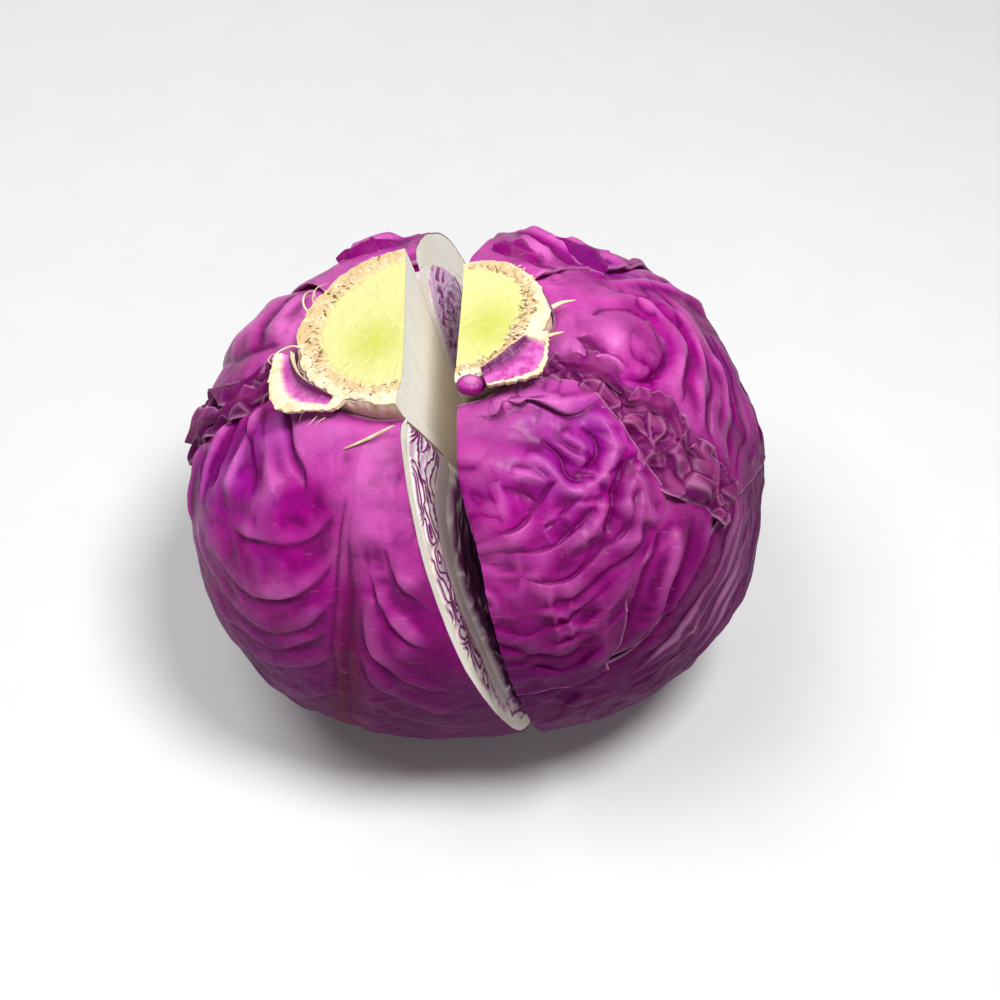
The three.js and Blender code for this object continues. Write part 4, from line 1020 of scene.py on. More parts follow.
def stem_surface(n, place, look):
    """The stem: green-yellow pith, a brown fibrous ring, cream skin and a creamy cut face."""
    fibre = n.group("stem_fibre", {"Vector": place, "Stretch": 9.0})
    streak, height = fibre["Streak"], fibre["Height"]
    pith, ring, face, glow, tan, line = n.masks(STEM_MASKS)
    inside = n.over(
        look.pith_colour, (glow, look.pith_green_colour),
        (n.spread(height, 0.5, 0.72, 0.0, 0.35), look.cream_colour))
    bark = n.over(
        look.bark_colour, (n.spread(height, 0.47, 0.72), look.cream_colour),
        (n.times(fibre["Fleck"], 0.25), look.bark_dark_colour))
    cut = n.over(
        look.flesh_colour, (tan, look.face_tan_colour),
        (n.spread(streak, 0.5, 0.75, 0.0, 0.4), look.cream_warm_colour))
    colour = n.over(
        look.cream_colour, (n.spread(streak, 0.35, 0.7), look.cream_warm_colour),
        (pith, inside), (ring, bark), (face, cut), (line, look.dark_leaf_and_shade_colour))
    return {"Base Color": colour, "Roughness": n.spread(height, 0.3, 0.7, 0.42, 0.66)}, (height, 0.0006, 0.8)


def leaf_base_surface(n, place, look):
    """A cut-off leaf base: cream flesh round a purple hollow."""
    fibre = n.group("stem_fibre", {"Vector": place, "Stretch": 4.0})
    streak, height = fibre["Streak"], fibre["Height"]
    inside, shade, brown = n.masks(STUB_MASKS)
    purple = n.over(
        look.pale_pink_and_highlight_colour, (n.spread(streak, 0.4, 0.6, 0.25, 0.8), look.leaf_colour),
        (n.times(shade, 0.85), look.dark_leaf_and_shade_colour))
    colour = n.over(
        look.cream_colour, (n.spread(streak, 0.35, 0.7), look.cream_warm_colour),
        (inside, purple), (brown, look.bark_colour))
    return {"Base Color": colour, "Roughness": n.spread(height, 0.3, 0.7, 0.38, 0.6)}, (height, 0.0005, 0.8)


def fibre_surface(n, place, look):
    """Dry fibre: cream and tan, brown where it is marked so."""
    fibre = n.group("stem_fibre", {"Vector": place, "Stretch": 2.0})
    colour = n.over(
        look.cream_colour, (n.spread(fibre["Streak"], 0.3, 0.7), look.bark_colour),
        (n.masks(["brown"])[0], look.bark_dark_colour))
    rough = n.spread(fibre["Height"], 0.3, 0.7, 0.45, 0.7)
    return {"Base Color": colour, "Roughness": rough}, (fibre["Height"], 0.0002, 0.6)


def floor_surface(n, place, look):
    """The floor: one pale tone with a barely darker mottle."""
    darker = [c * 0.985 for c in look.floor_colour]
    colour = n.blend(n.spread(n.noise(place, 40.0, 3.0), 0.3, 0.7), look.floor_colour, darker)
    return {"Base Color": colour, "Roughness": 0.7, "Specular IOR Level": 0.2}, None


GROUPS = {"waxy_skin": skin_group, "stem_fibre": fibre_group}
SURFACES = {
    "cabbage_leaf": leaf_surface, "cut_layers": layers_surface, "cabbage_stem": stem_surface,
    "leaf_base_flesh": leaf_base_surface, "dry_fibre": fibre_surface, "pale_floor": floor_surface,
}


def material(name, look):
    """The named material, built on its first use. Its surface gives the shader's inputs and the bump."""
    if bpy.data.materials.get(name):
        return bpy.data.materials[name]
    made = bpy.data.materials.new(name)
    made.use_nodes = True
    made.node_tree.nodes.clear()
    n = Nodes(made.node_tree)
    place = n.put("ShaderNodeTexCoord").outputs["Object"]
    inputs, bump = SURFACES[name](n, place, look)
    if bump:
        settings = dict(zip(("Height", "Distance", "Strength"), bump))
        inputs["Normal"] = n.put("ShaderNodeBump", settings).outputs[0]
    shader = n.put("ShaderNodeBsdfPrincipled", inputs)
    n.put("ShaderNodeOutputMaterial", {"Surface": shader.outputs[0]}, is_active_output=True)
    return made


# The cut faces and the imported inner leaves: how deep the white outer leaves and the pale zone
# inside them reach at each angle down from the stem.
WHITE_DEPTH = [[20, 6.0], [37, 5.6], [51, 5.4], [66, 5.2], [85, 4.8], [110, 3.8], [150, 3.2]]
BACK_WHITE_DEPTH = [[28, 40], [33, 14], [40, 7.5], [55, 7], [75, 5], [110, 4], [150, 3.4]]
PALE_START = [[33, 26], [55, 18.5], [72, 15], [84, 13.5], [96, 11.5], [113, 6.5], [150, 60]]
PALE_END = [[31, 36], [55, 29], [72, 22.5], [96, 17.5], [114, 11], [125, 8], [150, 70]]
NO_PALE_ZONE = (80, 90)
BACK_ARC = 300
LAYER_STEP = 0.05
LEAST_RATE = 0.12
CORE_MARGIN = (5, 8)
HEART_MASKS = {"membrane": 0, "hollow": 0, "tinge": 0, "layer": 0.5, "rate": 0.2, "ribbon": 0, "crumpled": 0,
               "outside": 0}
DENSE_SHARE, DENSE_REACH = 0.76, 0.72


def heart_rows(count, dense):
    """Steps from the stem's rim to the crown, closer together where the cut shows."""
    if not dense:
        return np.linspace(0, 1, count + 1)
    fine = int(count * DENSE_SHARE)
    return np.concatenate([
        np.linspace(0, DENSE_REACH, fine, endpoint=False), np.linspace(DENSE_REACH, 1, count + 1 - fine)])


def heart_outer(half, s, around):
    """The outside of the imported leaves: just under the outer leaves, and bare below them."""
    end = curve(LEFT_LOWER_EDGE if half is LEFT else RIGHT_LOWER_EDGE, around)
    down = mix(curve(half["rim"], around), 180, s)
    under = leaf_thickness(down) + 0.6 + rib_pocket(half, down, around)
    sunk = mix(under, 0.4, smoothstep(down, end + 2, end + 8))
    return head_point(half, down, around, swell(half, down, around) - sunk)


def core_radius(half, z, around):
    slender = half["butt"][0][1] / LEFT["butt"][0][1]
    swollen = slender * (1 + CORE_BACK_SWELL * (1 - np.cos(np.radians(around))) / 2)
    flared = curve(half["butt"], around) / curve(CORE_PROFILE, BUTT_FLARE[1])
    return curve(CORE_PROFILE, z) * mix(swollen, flared, smoothstep(z, *BUTT_FLARE))


def core_point(half, z, around, wider):
    r = np.where(z <= CORE_POINT, 0, core_radius(half, z, around) + wider)
    x = np.where((around <= 0) | (around >= 180), 0, half["sign"] * r * np.sin(np.radians(around)))
    return np.stack([x + 0 * z, -r * np.cos(np.radians(around)), z + 0 * r], -1)


def heart_pocket(half, s, around):
    """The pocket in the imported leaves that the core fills, from its rim to its point."""
    rim = heart_outer(half, 0 * s, around)
    z = mix(rim[..., 2], CORE_POINT - 1, s ** 0.9)
    point = core_point(half, np.maximum(z, CORE_POINT + 0.01), around, CORE_GAP)
    point = np.where((s <= 0)[..., None], rim, point)
    tip = np.stack([0 * z, 0 * z, z], -1)
    return np.where((s >= 1)[..., None], tip, point)


def layer_number(arc, depth):
    """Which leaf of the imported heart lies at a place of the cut: whole numbers are their skins."""
    flat = np.stack([0 * arc, arc, depth], -1)
    moved = np.stack([0 * arc, arc + 3.5 * noise(flat, 6, 33), depth + 3.0 * noise(flat, 6, 34)], -1)
    return depth / 4 + 1.7 * noise(moved, 8, 31) + 0.25 * noise(moved, 3.2, 32)


def cut_pattern(half, y, z):
    """The cut face at a place: a mask for each of its tones, and its height."""
    radius = np.hypot(y, z)
    down = np.degrees(np.arctan2(np.abs(y), z))
    front = y < 0
    plane = np.stack([0 * y + 3.3 * half["sign"], y, z], -1)
    outline = np.linalg.norm(head_point(half, down, np.where(front, 0.0, 180.0), 0 * down), axis=-1)
    depth = outline - radius
    white = np.where(front, curve(WHITE_DEPTH, down), curve(BACK_WHITE_DEPTH, down))
    band = np.where(front, curve(PALE_START, down), NO_PALE_ZONE[0])
    beyond = np.where(front, curve(PALE_END, down), NO_PALE_ZONE[1])
    arc = np.where(front, down * ARC, down * ARC + BACK_ARC)
    across = depth - white
    layer = layer_number(arc, across)
    by_arc = (layer_number(arc + LAYER_STEP, across) - layer) / LAYER_STEP
    by_depth = (layer_number(arc, across + LAYER_STEP) - layer) / LAYER_STEP
    rate = np.maximum(np.hypot(by_depth, by_arc / 2.2), LEAST_RATE)
    away = np.abs(layer - np.round(layer)) / rate
    inside = np.abs(y) - core_radius(half, np.maximum(z, CORE_POINT), np.where(front, 0.0, 180.0))
    inner = smoothstep(across, 0, 1.2) * np.where(front, 1.0, smoothstep(inside, *CORE_MARGIN))
    ribbons = inner * (1 - smoothstep(depth, band - 0.6, band + 0.2))
    pale = smoothstep(depth, band, band + 0.8) * (1 - smoothstep(depth, beyond - 1, beyond))
    deep = smoothstep(depth, beyond - 0.5, beyond + 1.5)
    line = bell((depth - band) / 0.4) * inner
    # Deep in the cut, in the narrow gap between the halves, the purple leaves get painted shade through the
    # hollow mask. Light specks break it as painted glints of moisture.
    specks = smoothstep(noise(plane, 1.5, 35), 0.25, 0.6)
    stain = smoothstep(noise(plane, 4.5, 37), -0.1, 0.7)
    height = -ribbons * (0.25 + 0.7 * smoothstep(away, 1.3, 0.3)) - 0.5 * line
    height = height - 0.7 * pale - deep * (2.4 + 0.9 * noise(plane, 2.6, 36))
    return {
        "membrane": np.clip(line + deep * (0.92 - 0.5 * specks), 0, 1),
        "hollow": np.clip(deep * (0.6 + 0.3 * noise(plane, 4.6, 31) - 0.5 * specks), 0, 1),
        "tinge": np.clip(ribbons * (0.24 + 0.5 * stain) + 0.3 * pale, 0, 1),
        "layer": layer, "rate": rate, "ribbon": ribbons,
        "crumpled": np.where(front, 0.0, 1 - smoothstep(down, 56, 70)), "outside": 0,
    }, height


def heart_parts(half, rows, rings, around_count, dense):
    """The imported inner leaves: outer face, pocket for the core, and the layered cut face."""
    columns = np.linspace(0, 180, around_count + 1)[None, :]
    front, back = heart_rows(rows, dense), heart_rows(rows, False)
    s = mix(front[:, None], back[:, None], columns / 180)
    columns = columns + 0 * s
    outer = heart_outer(half, s, columns)
    wrinkle = 1.1 * noise(outer, 8, 41) + 0.5 * noise(outer, 3.5, 42)
    crown = smoothstep(s, 0.8, 0.86) * np.sin(np.radians(columns)) ** 0.5
    away = outer / np.linalg.norm(outer, axis=-1, keepdims=True)
    outer = outer + away * (crown * (wrinkle - 1.2))[..., None]
    t = np.linspace(0, 1, rings + 1)
    if dense:
        t = np.interp(t, [0, 0.05, 0.82, 1], [0, 0.07, 0.46, 1])
    t = t[None, :]
    k_s = np.concatenate([front, back[-2::-1]])
    k_round = np.concatenate([np.zeros(rows + 1), np.full(rows, 180.0)])
    out, deep = heart_outer(half, k_s, k_round), heart_pocket(half, k_s, k_round)
    face = out[:, None] + (deep - out)[:, None] * t[..., None]
    masks, height = cut_pattern(half, face[..., 1], face[..., 2])
    length = np.linalg.norm(deep - out, axis=-1)[:, None]
    margin = smoothstep(t * length, 0, 1.2) * smoothstep((1 - t) * length, 0, 0.8)
    margin = margin * smoothstep(k_s, 0.004, 0.03)[:, None]
    face[..., 0] = half["sign"] * np.minimum(height, 0) * margin
    pocket = heart_pocket(half, s, columns)
    return [
        grid_part(stand(half, outer), {**HEART_MASKS, "outside": 1}),
        grid_part(stand(half, pocket), {**HEART_MASKS, "membrane": 0.3, "hollow": 0.1}, flip=True),
        grid_part(stand(half, face), masks, flip=True),
    ]


STEM_MASKS = {"pith": 0, "ring": 0, "face": 0, "glow": 0, "tan": 0, "line": 0}
STEM_GRID = {"rings": 58, "around": 150, "rows": 46}


def stem_place(half, seed, level, angle, inward):
    """A place of the stem, with how much it is pith and how much fibrous ring.

    The level runs from the butt, 0, to the core's point, 1, and inward from the axis, 0, to the skin, 1.
    """
    edge = core_point(half, mix(BUTT_TOP, CORE_POINT, level ** 1.1) + 0 * angle, angle, 0)
    across, ahead = np.sin(np.radians(angle)), np.cos(np.radians(angle))
    probe = np.stack([20 * across, 20 * ahead, edge[..., 2] * 0.4], -1)
    ragged = 0.7 * noise(probe, 1.1, seed) + 0.5 * noise(probe, 3.3, seed + 1)
    ragged = ragged * (1 - smoothstep(level, 0.0, 0.16))
    edge_r = np.hypot(edge[..., 0], edge[..., 1])
    scale = (edge_r - 0.5 + ragged * across ** 0.4 * 0.9) / np.maximum(edge_r, 0.1)
    scale = np.where(level > 0.5, 1.0, scale)
    x, y = edge[..., 0] * inward * scale, edge[..., 1] * inward * scale
    r = np.hypot(x, y)
    spot = np.stack([x, y, 0 * x], -1)
    spin = np.stack([across * 26, ahead * 26, r * 0.12], -1)
    rays = noise(spin, 0.8, seed + 2)
    teeth = curve(half["pith"], angle) + 0.8 * noise(spin, 0.9, seed + 3) + 0.6 * noise(spot, 5, seed + 9)
    pith = smoothstep(r, teeth + 0.3, teeth - 0.5)
    wide = 3.0 + (6 * smoothstep(angle, 84, 108) if half is LEFT else 0 * angle)
    outer_r = np.minimum(teeth + wide, edge_r - 0.6)
    ring = (1 - pith) * smoothstep(r, outer_r + 0.5 * rays + 0.9, outer_r + 0.5 * rays - 0.4)
    rough = noise(spot, 1.3, seed + 4) + 0.7 * noise(spot, 0.7, seed + 5)
    top = -BUTT_DISH * (1 - inward ** 4) + 0.25 * noise(spot, 9, seed + 6)
    top = top + 0.12 * rays * smoothstep(r, 4, 18)
    top = top + ring * (0.4 * rough + 0.1) - 0.5 * bell((r - teeth) / 0.7)
    collar = smoothstep(r, outer_r, edge_r + 0.2) * (1 - pith)
    top = top - 1.3 * collar ** 1.5 + 0.12 * noise(spot, 2, seed + 7)
    z = edge[..., 2] + (top - 0.15) * (1 - smoothstep(level, 0, 0.12))
    return np.stack([x, y, z], -1), pith, ring


def stem_parts(half):
    """Half of the stem: the sawn butt, the skin below it, and the cut face down the core."""
    seed = 51 if half is LEFT else 61
    around = np.linspace(0, 180, STEM_GRID["around"] + 1)
    inwards = 1 - np.linspace(1, 0, STEM_GRID["rings"] + 1) ** 1.5
    levels = np.linspace(0, 1, STEM_GRID["rows"] + 1) ** 1.6
    inward, angle = np.meshgrid(inwards, around, indexing="ij")
    points, pith, ring = stem_place(half, seed, 0 * inward, angle, inward)
    glow = hill((points[..., 0] - half["sign"] * 8) / 8, (points[..., 1] + 3) / 9)
    scar = bell((inward - 0.985) / 0.012) * smoothstep(angle, 18, 28) * (1 - smoothstep(angle, 84, 96))
    parts = [grid_part(stand(half, points), {
        **STEM_MASKS, "pith": pith, "ring": ring, "glow": glow, "line": scar * (half is LEFT)})]
    level, angle = np.meshgrid(levels, around, indexing="ij")
    points, _, _ = stem_place(half, seed, level, angle, 1 + 0 * level)
    barky = 1 - smoothstep(BUTT_TOP - points[..., 2], 1.5, 4 + 2 * np.sin(np.radians(angle)))
    parts.append(grid_part(stand(half, points), {**STEM_MASKS, "ring": barky * smoothstep(angle, 70, 100)}))
    level, side = np.meshgrid(levels, np.concatenate([-inwards[::-1], inwards[1:]]), indexing="ij")
    points, pith, ring = stem_place(half, seed, level, np.where(side < 0, 0.0, 180.0), np.abs(side))
    face = smoothstep(level, 0.0, 0.012)
    tan = 0.5 * smoothstep(level + 0.1 * side, 0.1, 0.55)
    parts.append(grid_part(stand(half, points), {
        **STEM_MASKS, "pith": pith, "ring": ring * (1 - face), "face": face, "tan": tan}, flip=True))
    return parts


# The cut-off leaf bases: their lower edge and how far they lift, by the angle round the half.
STUBS = [
    {"name": "left_leaf_stub", "half": LEFT, "around": (34, 89), "seed": 71, "rim": (0.5, 0.66),
     "lower": [[34, 23.8], [46, 26.4], [59, 29.8], [74, 28.8], [89, 27.4]],
     "rise": [[34, 3], [59, 4.6], [89, 3.6]], "rim_side": (0.16, 0.08)},
    {"name": "right_leaf_stub", "half": RIGHT, "around": (19, 66), "seed": 72, "rim": (0.8, 0.9),
     "lower": [[19, 22], [30, 23.6], [44, 25.4], [55, 23], [66, 20.6]],
     "rise": [[19, 3.8], [44, 4.8], [66, 3.6]], "rim_side": (0.8, 0.9)},
]
STUB_MASKS = {"purple": 0, "shade": 0, "brown": 0}
STUB_GRID = (40, 110)


def stub_parts(stub):
    """A cut-off leaf base: a thick plate that lifts towards its ragged cream edge."""
    half, seed = stub["half"], stub["seed"]
    v, u = np.meshgrid(*(np.linspace(0, 1, count + 1) for count in STUB_GRID), indexing="ij")
    around = mix(*stub["around"], u)
    rise = curve(stub["rise"], around)
    upper = np.degrees(np.arcsin((curve(half["butt"], around) - 0.6) / (HALF_DEPTH + rise)))
    ragged = 0.35 * noise(np.stack([around, 0 * v, 0 * v], -1), 1.2, seed)
    down = mix(upper, curve(stub["lower"], around) + ragged, v)
    spot = np.stack([around * 1.1, down * 1.3, 0 * v], -1)
    rim = np.maximum(smoothstep(v, *stub["rim"]), smoothstep(u, *stub["rim_side"]))
    hollow = (1 - rim) * smoothstep(v, 0, 0.2)
    top = 1.6 - 1.1 * hollow + 0.25 * noise(spot, 3, seed + 1) + 0.15 * noise(spot, 1.2, seed + 2)
    out = rise + v * v * 1.2
    outer, inner = head_point(half, down, around, out + top), head_point(half, down, around, out)
    brown = smoothstep(v, 0.93, 1.0) * smoothstep(noise(spot, 2, 5), -0.2, 0.5)
    over, under = closed(border(outer)), closed(border(inner))
    wall = np.stack([over, (over + under) / 2, under])
    return [
        grid_part(stand(half, outer), {"purple": 1 - rim, "shade": smoothstep(v, 0.5, 0.1), "brown": brown}),
        grid_part(stand(half, inner), {**STUB_MASKS, "purple": 1, "shade": 0.5}, flip=True),
        grid_part(stand(half, wall), {**STUB_MASKS, "brown": 0.2}, flip=True),
    ]


BUD = {"down": 19.2, "round": 10, "out": 1.9, "radius": 2.9}
BUD_GRID = (40, 61)


def bud_parts():
    """The small bud beside the stem: overlapping scales that meet in a pale star."""
    rows, columns = BUD_GRID
    theta, phi = np.meshgrid(
        np.linspace(0.02, math.pi - 0.02, rows), np.linspace(0, 2 * math.pi, columns), indexing="ij")
    seams = np.abs(np.sin(2.5 * phi + 0.6 * theta))
    r = BUD["radius"] * (1 + 0.06 * seams - 0.03 * np.cos(theta * 9))
    points = np.stack([
        1.25 * r * np.sin(theta) * np.cos(phi), r * np.sin(theta) * np.sin(phi), 0.8 * r * np.cos(theta)], -1)
    star = bell(theta / 0.5) + 0.6 * smoothstep(seams, 0.2, 0.0) * smoothstep(theta, 1.6, 0.4)
    centre = stand(RIGHT, head_point(RIGHT, *(np.array(BUD[key]) for key in ("down", "round", "out"))))
    # The pale star takes the crest colour. The crease mask paints shade over the bud's lower half.
    return [grid_part(points + centre, {
        **LEAF_MASKS, "crest": np.clip(0.15 + 1.2 * star, 0, 1), "crease": smoothstep(theta, 0.9, 1.9),
        "edge": np.clip(star, 0, 1)})]


# Loose flaps of torn leaf: a line on the head, which side they reach to, how far, how high, and a
# seed. The curls of the leaves behind the stem are fresh, and some of them dark.
TORN_FLAPS = [
    ("right_torn_flaps", RIGHT, [
        ([[25.5, 56.5], [29.6, 60], [34.6, 62.6], [39.5, 62]], 1, 8, 0.9, 81),
        ([[41.4, 60], [45.4, 63], [49.4, 64.4], [53.8, 62]], 1, 7, 0.9, 82),
        ([[57, 62.6], [61, 63], [65, 62.4], [68, 60.5]], 1, 4.6, 0.4, 84),
    ]),
    ("left_torn_flaps", LEFT, [
        ([[29, 82.5], [35, 80.6], [42, 82.5], [48, 86]], 1, 7, 0.9, 91),
        ([[33, 93.5], [39, 92.4], [45, 95], [51, 99]], -1, 5, 0.9, 92),
        ([[46, 85.6], [52, 88.6], [58, 92], [64, 94]], 1, 6, 0.7, 93),
    ]),
]
CURLS = [
    ("back_leaf_curls", LEFT, [
        ([[36.4, 154], [34.6, 159], [34.4, 165], [36, 171.5]], -1, 9, 3.9, 95),
        ([[40, 150], [38.6, 156], [38.4, 161], [39.6, 165]], -1, 7, 2.0, 96),
    ]),
    ("top_leaf_curls", RIGHT, [
        ([[27, 144], [25.4, 152], [25, 161], [26.4, 171]], -1, 9.5, 3.8, 97),
        ([[42, 130], [41, 139], [41.6, 148], [43, 157]], -1, 9, 3.6, 98),
    ]),
]
DARK_CURLS = (95, 96, 98)
FLAP_STEPS, FLAP_ACROSS = 70, 16


def flap_parts(half, line, side, wide, lift, seed, curl):
    """A thin ruffled flap along a line, thin at its ragged edge; a curl is smoother and stands higher."""
    path = smooth_line(line, FLAP_STEPS)
    step = np.gradient(path, axis=0)
    ring = np.sin(np.radians(path[:, 0]))
    normal = np.stack([-step[:, 1] * ring, step[:, 0] / ring], -1)
    normal /= np.hypot(normal[:, 0], normal[:, 1] * ring)[:, None]
    w, s = np.meshgrid(np.linspace(0, 1, FLAP_ACROSS + 1), np.linspace(0, 1, FLAP_STEPS + 1))
    spot = np.stack([s * 40, w * 6, 0 * s], -1)
    along = spot * [1, 0, 0]
    uneven = 0.4 * noise(along, 11, seed) + 0.1 * noise(along, 3, seed + 1)
    arch = np.sin(np.pi * np.clip(s, 0.01, 0.99))
    reach = wide * (0.85 + (0.35 if curl else 1.0) * uneven) * arch ** 0.6
    offset = side * w * reach / ARC
    down, around = path[:, :1] + normal[:, :1] * offset, path[:, 1:] + normal[:, 1:] * offset
    wave = np.sin(s * 12 + 3 * noise(along, 9, seed + 2)) * w
    height = lift * (1 - np.exp(-2.5 * w)) * 0.8 * (arch ** 0.5 if curl else 1) + 0.6 * wave
    height = height + 2.2 - (2.6 if curl else 1.4) * w ** 3 + 0.22 * noise(spot, 4, seed + 3)
    height = height - 1.6 * (1 - smoothstep(w, 0, 0.25))
    base = swell(half, down, around)
    top = head_point(half, down, around, base + height)
    under = head_point(half, down, around, base + height - mix(1.0, 0.45, w))
    # Painted highlight on the wave crests and on the rolled-over part of a curl. Painted shade in the wave
    # troughs, on the underside and low down on the head. Dark curls are dark through the same low mask.
    crest = smoothstep(wave, 0.1, 0.7) + (0.5 * smoothstep(w, 0.35, 0.7) if curl else 0)
    plain = {**LEAF_MASKS, "torn": 0.15 if curl else 0.9}
    masks = {**plain, "crest": np.clip(crest, 0, 1), "crease": 0.5 * smoothstep(wave, -0.1, -0.7),
             "edge": bell((1 - w) * wide / 0.45),
             "low": np.maximum(smoothstep(down, 70, 130), 0.5 if seed in DARK_CURLS else 0.0)}
    flip = side < 0
    wall = np.stack([closed(border(top)), closed(border(under))])
    return [
        grid_part(stand(half, top), masks, flip),
        grid_part(stand(half, under), {**masks, "edge": 0, "crease": 0.6}, not flip),
        grid_part(stand(half, wall), {**plain, "edge": 1}, not flip),
    ]


def hair_part(points, radius, brown):
    """A thin tapering fibre along points, six-sided, in millimetres."""
    count = len(points)
    ahead = np.gradient(points, axis=0)
    ahead /= np.linalg.norm(ahead, axis=1, keepdims=True)
    side = np.cross(ahead, [0.3, 0.2, 1.0])
    side /= np.linalg.norm(side, axis=1, keepdims=True)
    other = np.cross(ahead, side)
    taper = radius * (1 - 0.85 * np.linspace(0, 1, count) ** 1.5)
    turn = np.linspace(0, 2 * math.pi, 7)[None, :, None]
    away = np.cos(turn) * side[:, None] + np.sin(turn) * other[:, None]
    return grid_part(points[:, None] + taper[:, None, None] * away, {"brown": brown})


def bristle_parts(half, count, length, seed):
    """Bristles round the fibrous ring of the butt, and along its rim."""
    rng = np.random.default_rng(seed)
    parts = []
    for _ in range(count):
        angle = rng.uniform(3, 177)
        pith_r = float(curve(half["pith"], angle))
        edge = float(core_radius(half, np.array(BUTT_TOP), angle))
        r = rng.uniform(pith_r - 0.2, min(pith_r + 4.5, edge - 0.2))
        lean = rng.normal(0, 0.6)
        size = length * rng.uniform(0.35, 1.0)
        b = math.radians(angle)
        base = np.array([half["sign"] * r * math.sin(b), -r * math.cos(b), BUTT_TOP - 1.2])
        inward = -base * [1, 1, 0] / r * rng.choice([1, 1, -0.6])
        along = np.array([-inward[1], inward[0], 0]) * lean
        points = [
            base + (inward + along) * size * t + np.array([0, 0, 1.0 + 1.1 * t - 1.0 * t * t]) * size * 0.55
            for t in np.linspace(0, 1, 4)]
        radius = rng.uniform(0.14, 0.34)
        parts.append(hair_part(stand(half, np.array(points)), radius, float(rng.random() < 0.22)))
    return parts


# Loose fibres: places as (down, round, height over the head), and their thickness.
LOOSE_FIBRES = [
    (LEFT, [[22.6, 91, 3.5], [24.6, 93, 4.5], [27, 91, 5.5], [28.5, 86, 5.4], [28, 82, 4.8]], 0.34),
    (LEFT, [[28, 84, 4.5], [29.5, 88, 4.8], [30.6, 92, 4.2], [30.2, 95, 3.4], [29, 94, 3.4]], 0.24),
    (LEFT, [[25.4, 118, 1.5], [27.4, 121, 3.5], [27.6, 126, 5.5], [25.6, 128, 5.8], [24.2, 124, 4.6]], 0.36),
    (LEFT, [[25.4, 123, 1], [28, 127, 2.5], [29, 133, 3.6], [27.6, 138, 3.4]], 0.28),
    (LEFT, [[26, 40, 3], [27.6, 41.4, 3.4], [29, 41.5, 3]], 0.14),
    (LEFT, [[26.4, 44, 3.4], [28.2, 44.4, 3.6], [29.6, 45.8, 3]], 0.12),
    (LEFT, [[26, 50, 4], [28, 50.8, 4], [29.4, 50.2, 3.4]], 0.12),
    (RIGHT, [[20.6, 66, 4], [22, 69, 4.6], [23.4, 72, 4.6]], 0.6),
    (RIGHT, [[20, 92, 3], [22, 94, 4], [24.6, 95.5, 4.2]], 0.7),
]
SLIVER = [[30.6, 25], [29, 19], [27.5, 12], [26.4, 6], [25.8, 1]]
SLIVER_THICK = 0.4


def sliver_parts():
    """A straw-coloured splinter that lies on the front leaf."""
    path = smooth_line(SLIVER, 40)
    w, s = np.meshgrid(np.linspace(-1, 1, 7), np.linspace(0, 1, 41))
    half_width = 0.1 + 0.34 * np.sin(np.pi * s) ** 0.5
    down = path[:, :1] + w * half_width / ARC
    lift = 1.9 + 0.3 * (1 - w * w) + 0.5 * s
    around = path[:, 1:] + 0 * w
    base = swell(LEFT, down, around)
    top, under = (head_point(LEFT, down, around, base + lift - sunk) for sunk in (0, SLIVER_THICK))
    return [grid_part(stand(LEFT, top), {"brown": 0}), grid_part(stand(LEFT, under), {"brown": 0}, flip=True)]


# Each heart's rows, rings and columns, and whether the rows crowd where its cut face shows.
HEARTS = ((LEFT, "left_heart", (310, 56, 36, True)), (RIGHT, "right_heart", (150, 40, 40, False)))
FLOOR_REACH = 4
LIT_POINT = (0.0, 0.0, 0.08)
LIGHTS = (
    ("key_light", (0.22, -0.18, 0.87), 0.26, 6.2),
    ("top_light", (-0.28, -0.06, 0.86), 0.42, 3.2),
    ("front_light", (0.12, -0.8, 0.5), 0.5, 0.8),
    ("back_light", (-0.35, 0.7, 0.5), 0.5, 1.2),
)
SKY_STRENGTH = 0.12
LENS, SENSOR_WIDTH, LENS_SHIFT = 66.8, 36.0, (0.022, -0.015)
AIM = (0.000698, -0.002933, 0.0702)
LOOK_DOWN = math.radians(50)
EYE_DISTANCE = 0.54


def tone(name, words, colour):
    return bpy.props.FloatVectorProperty(
        name=name, description=words, default=colour, size=3, min=0.0, max=1.0, subtype="COLOR")


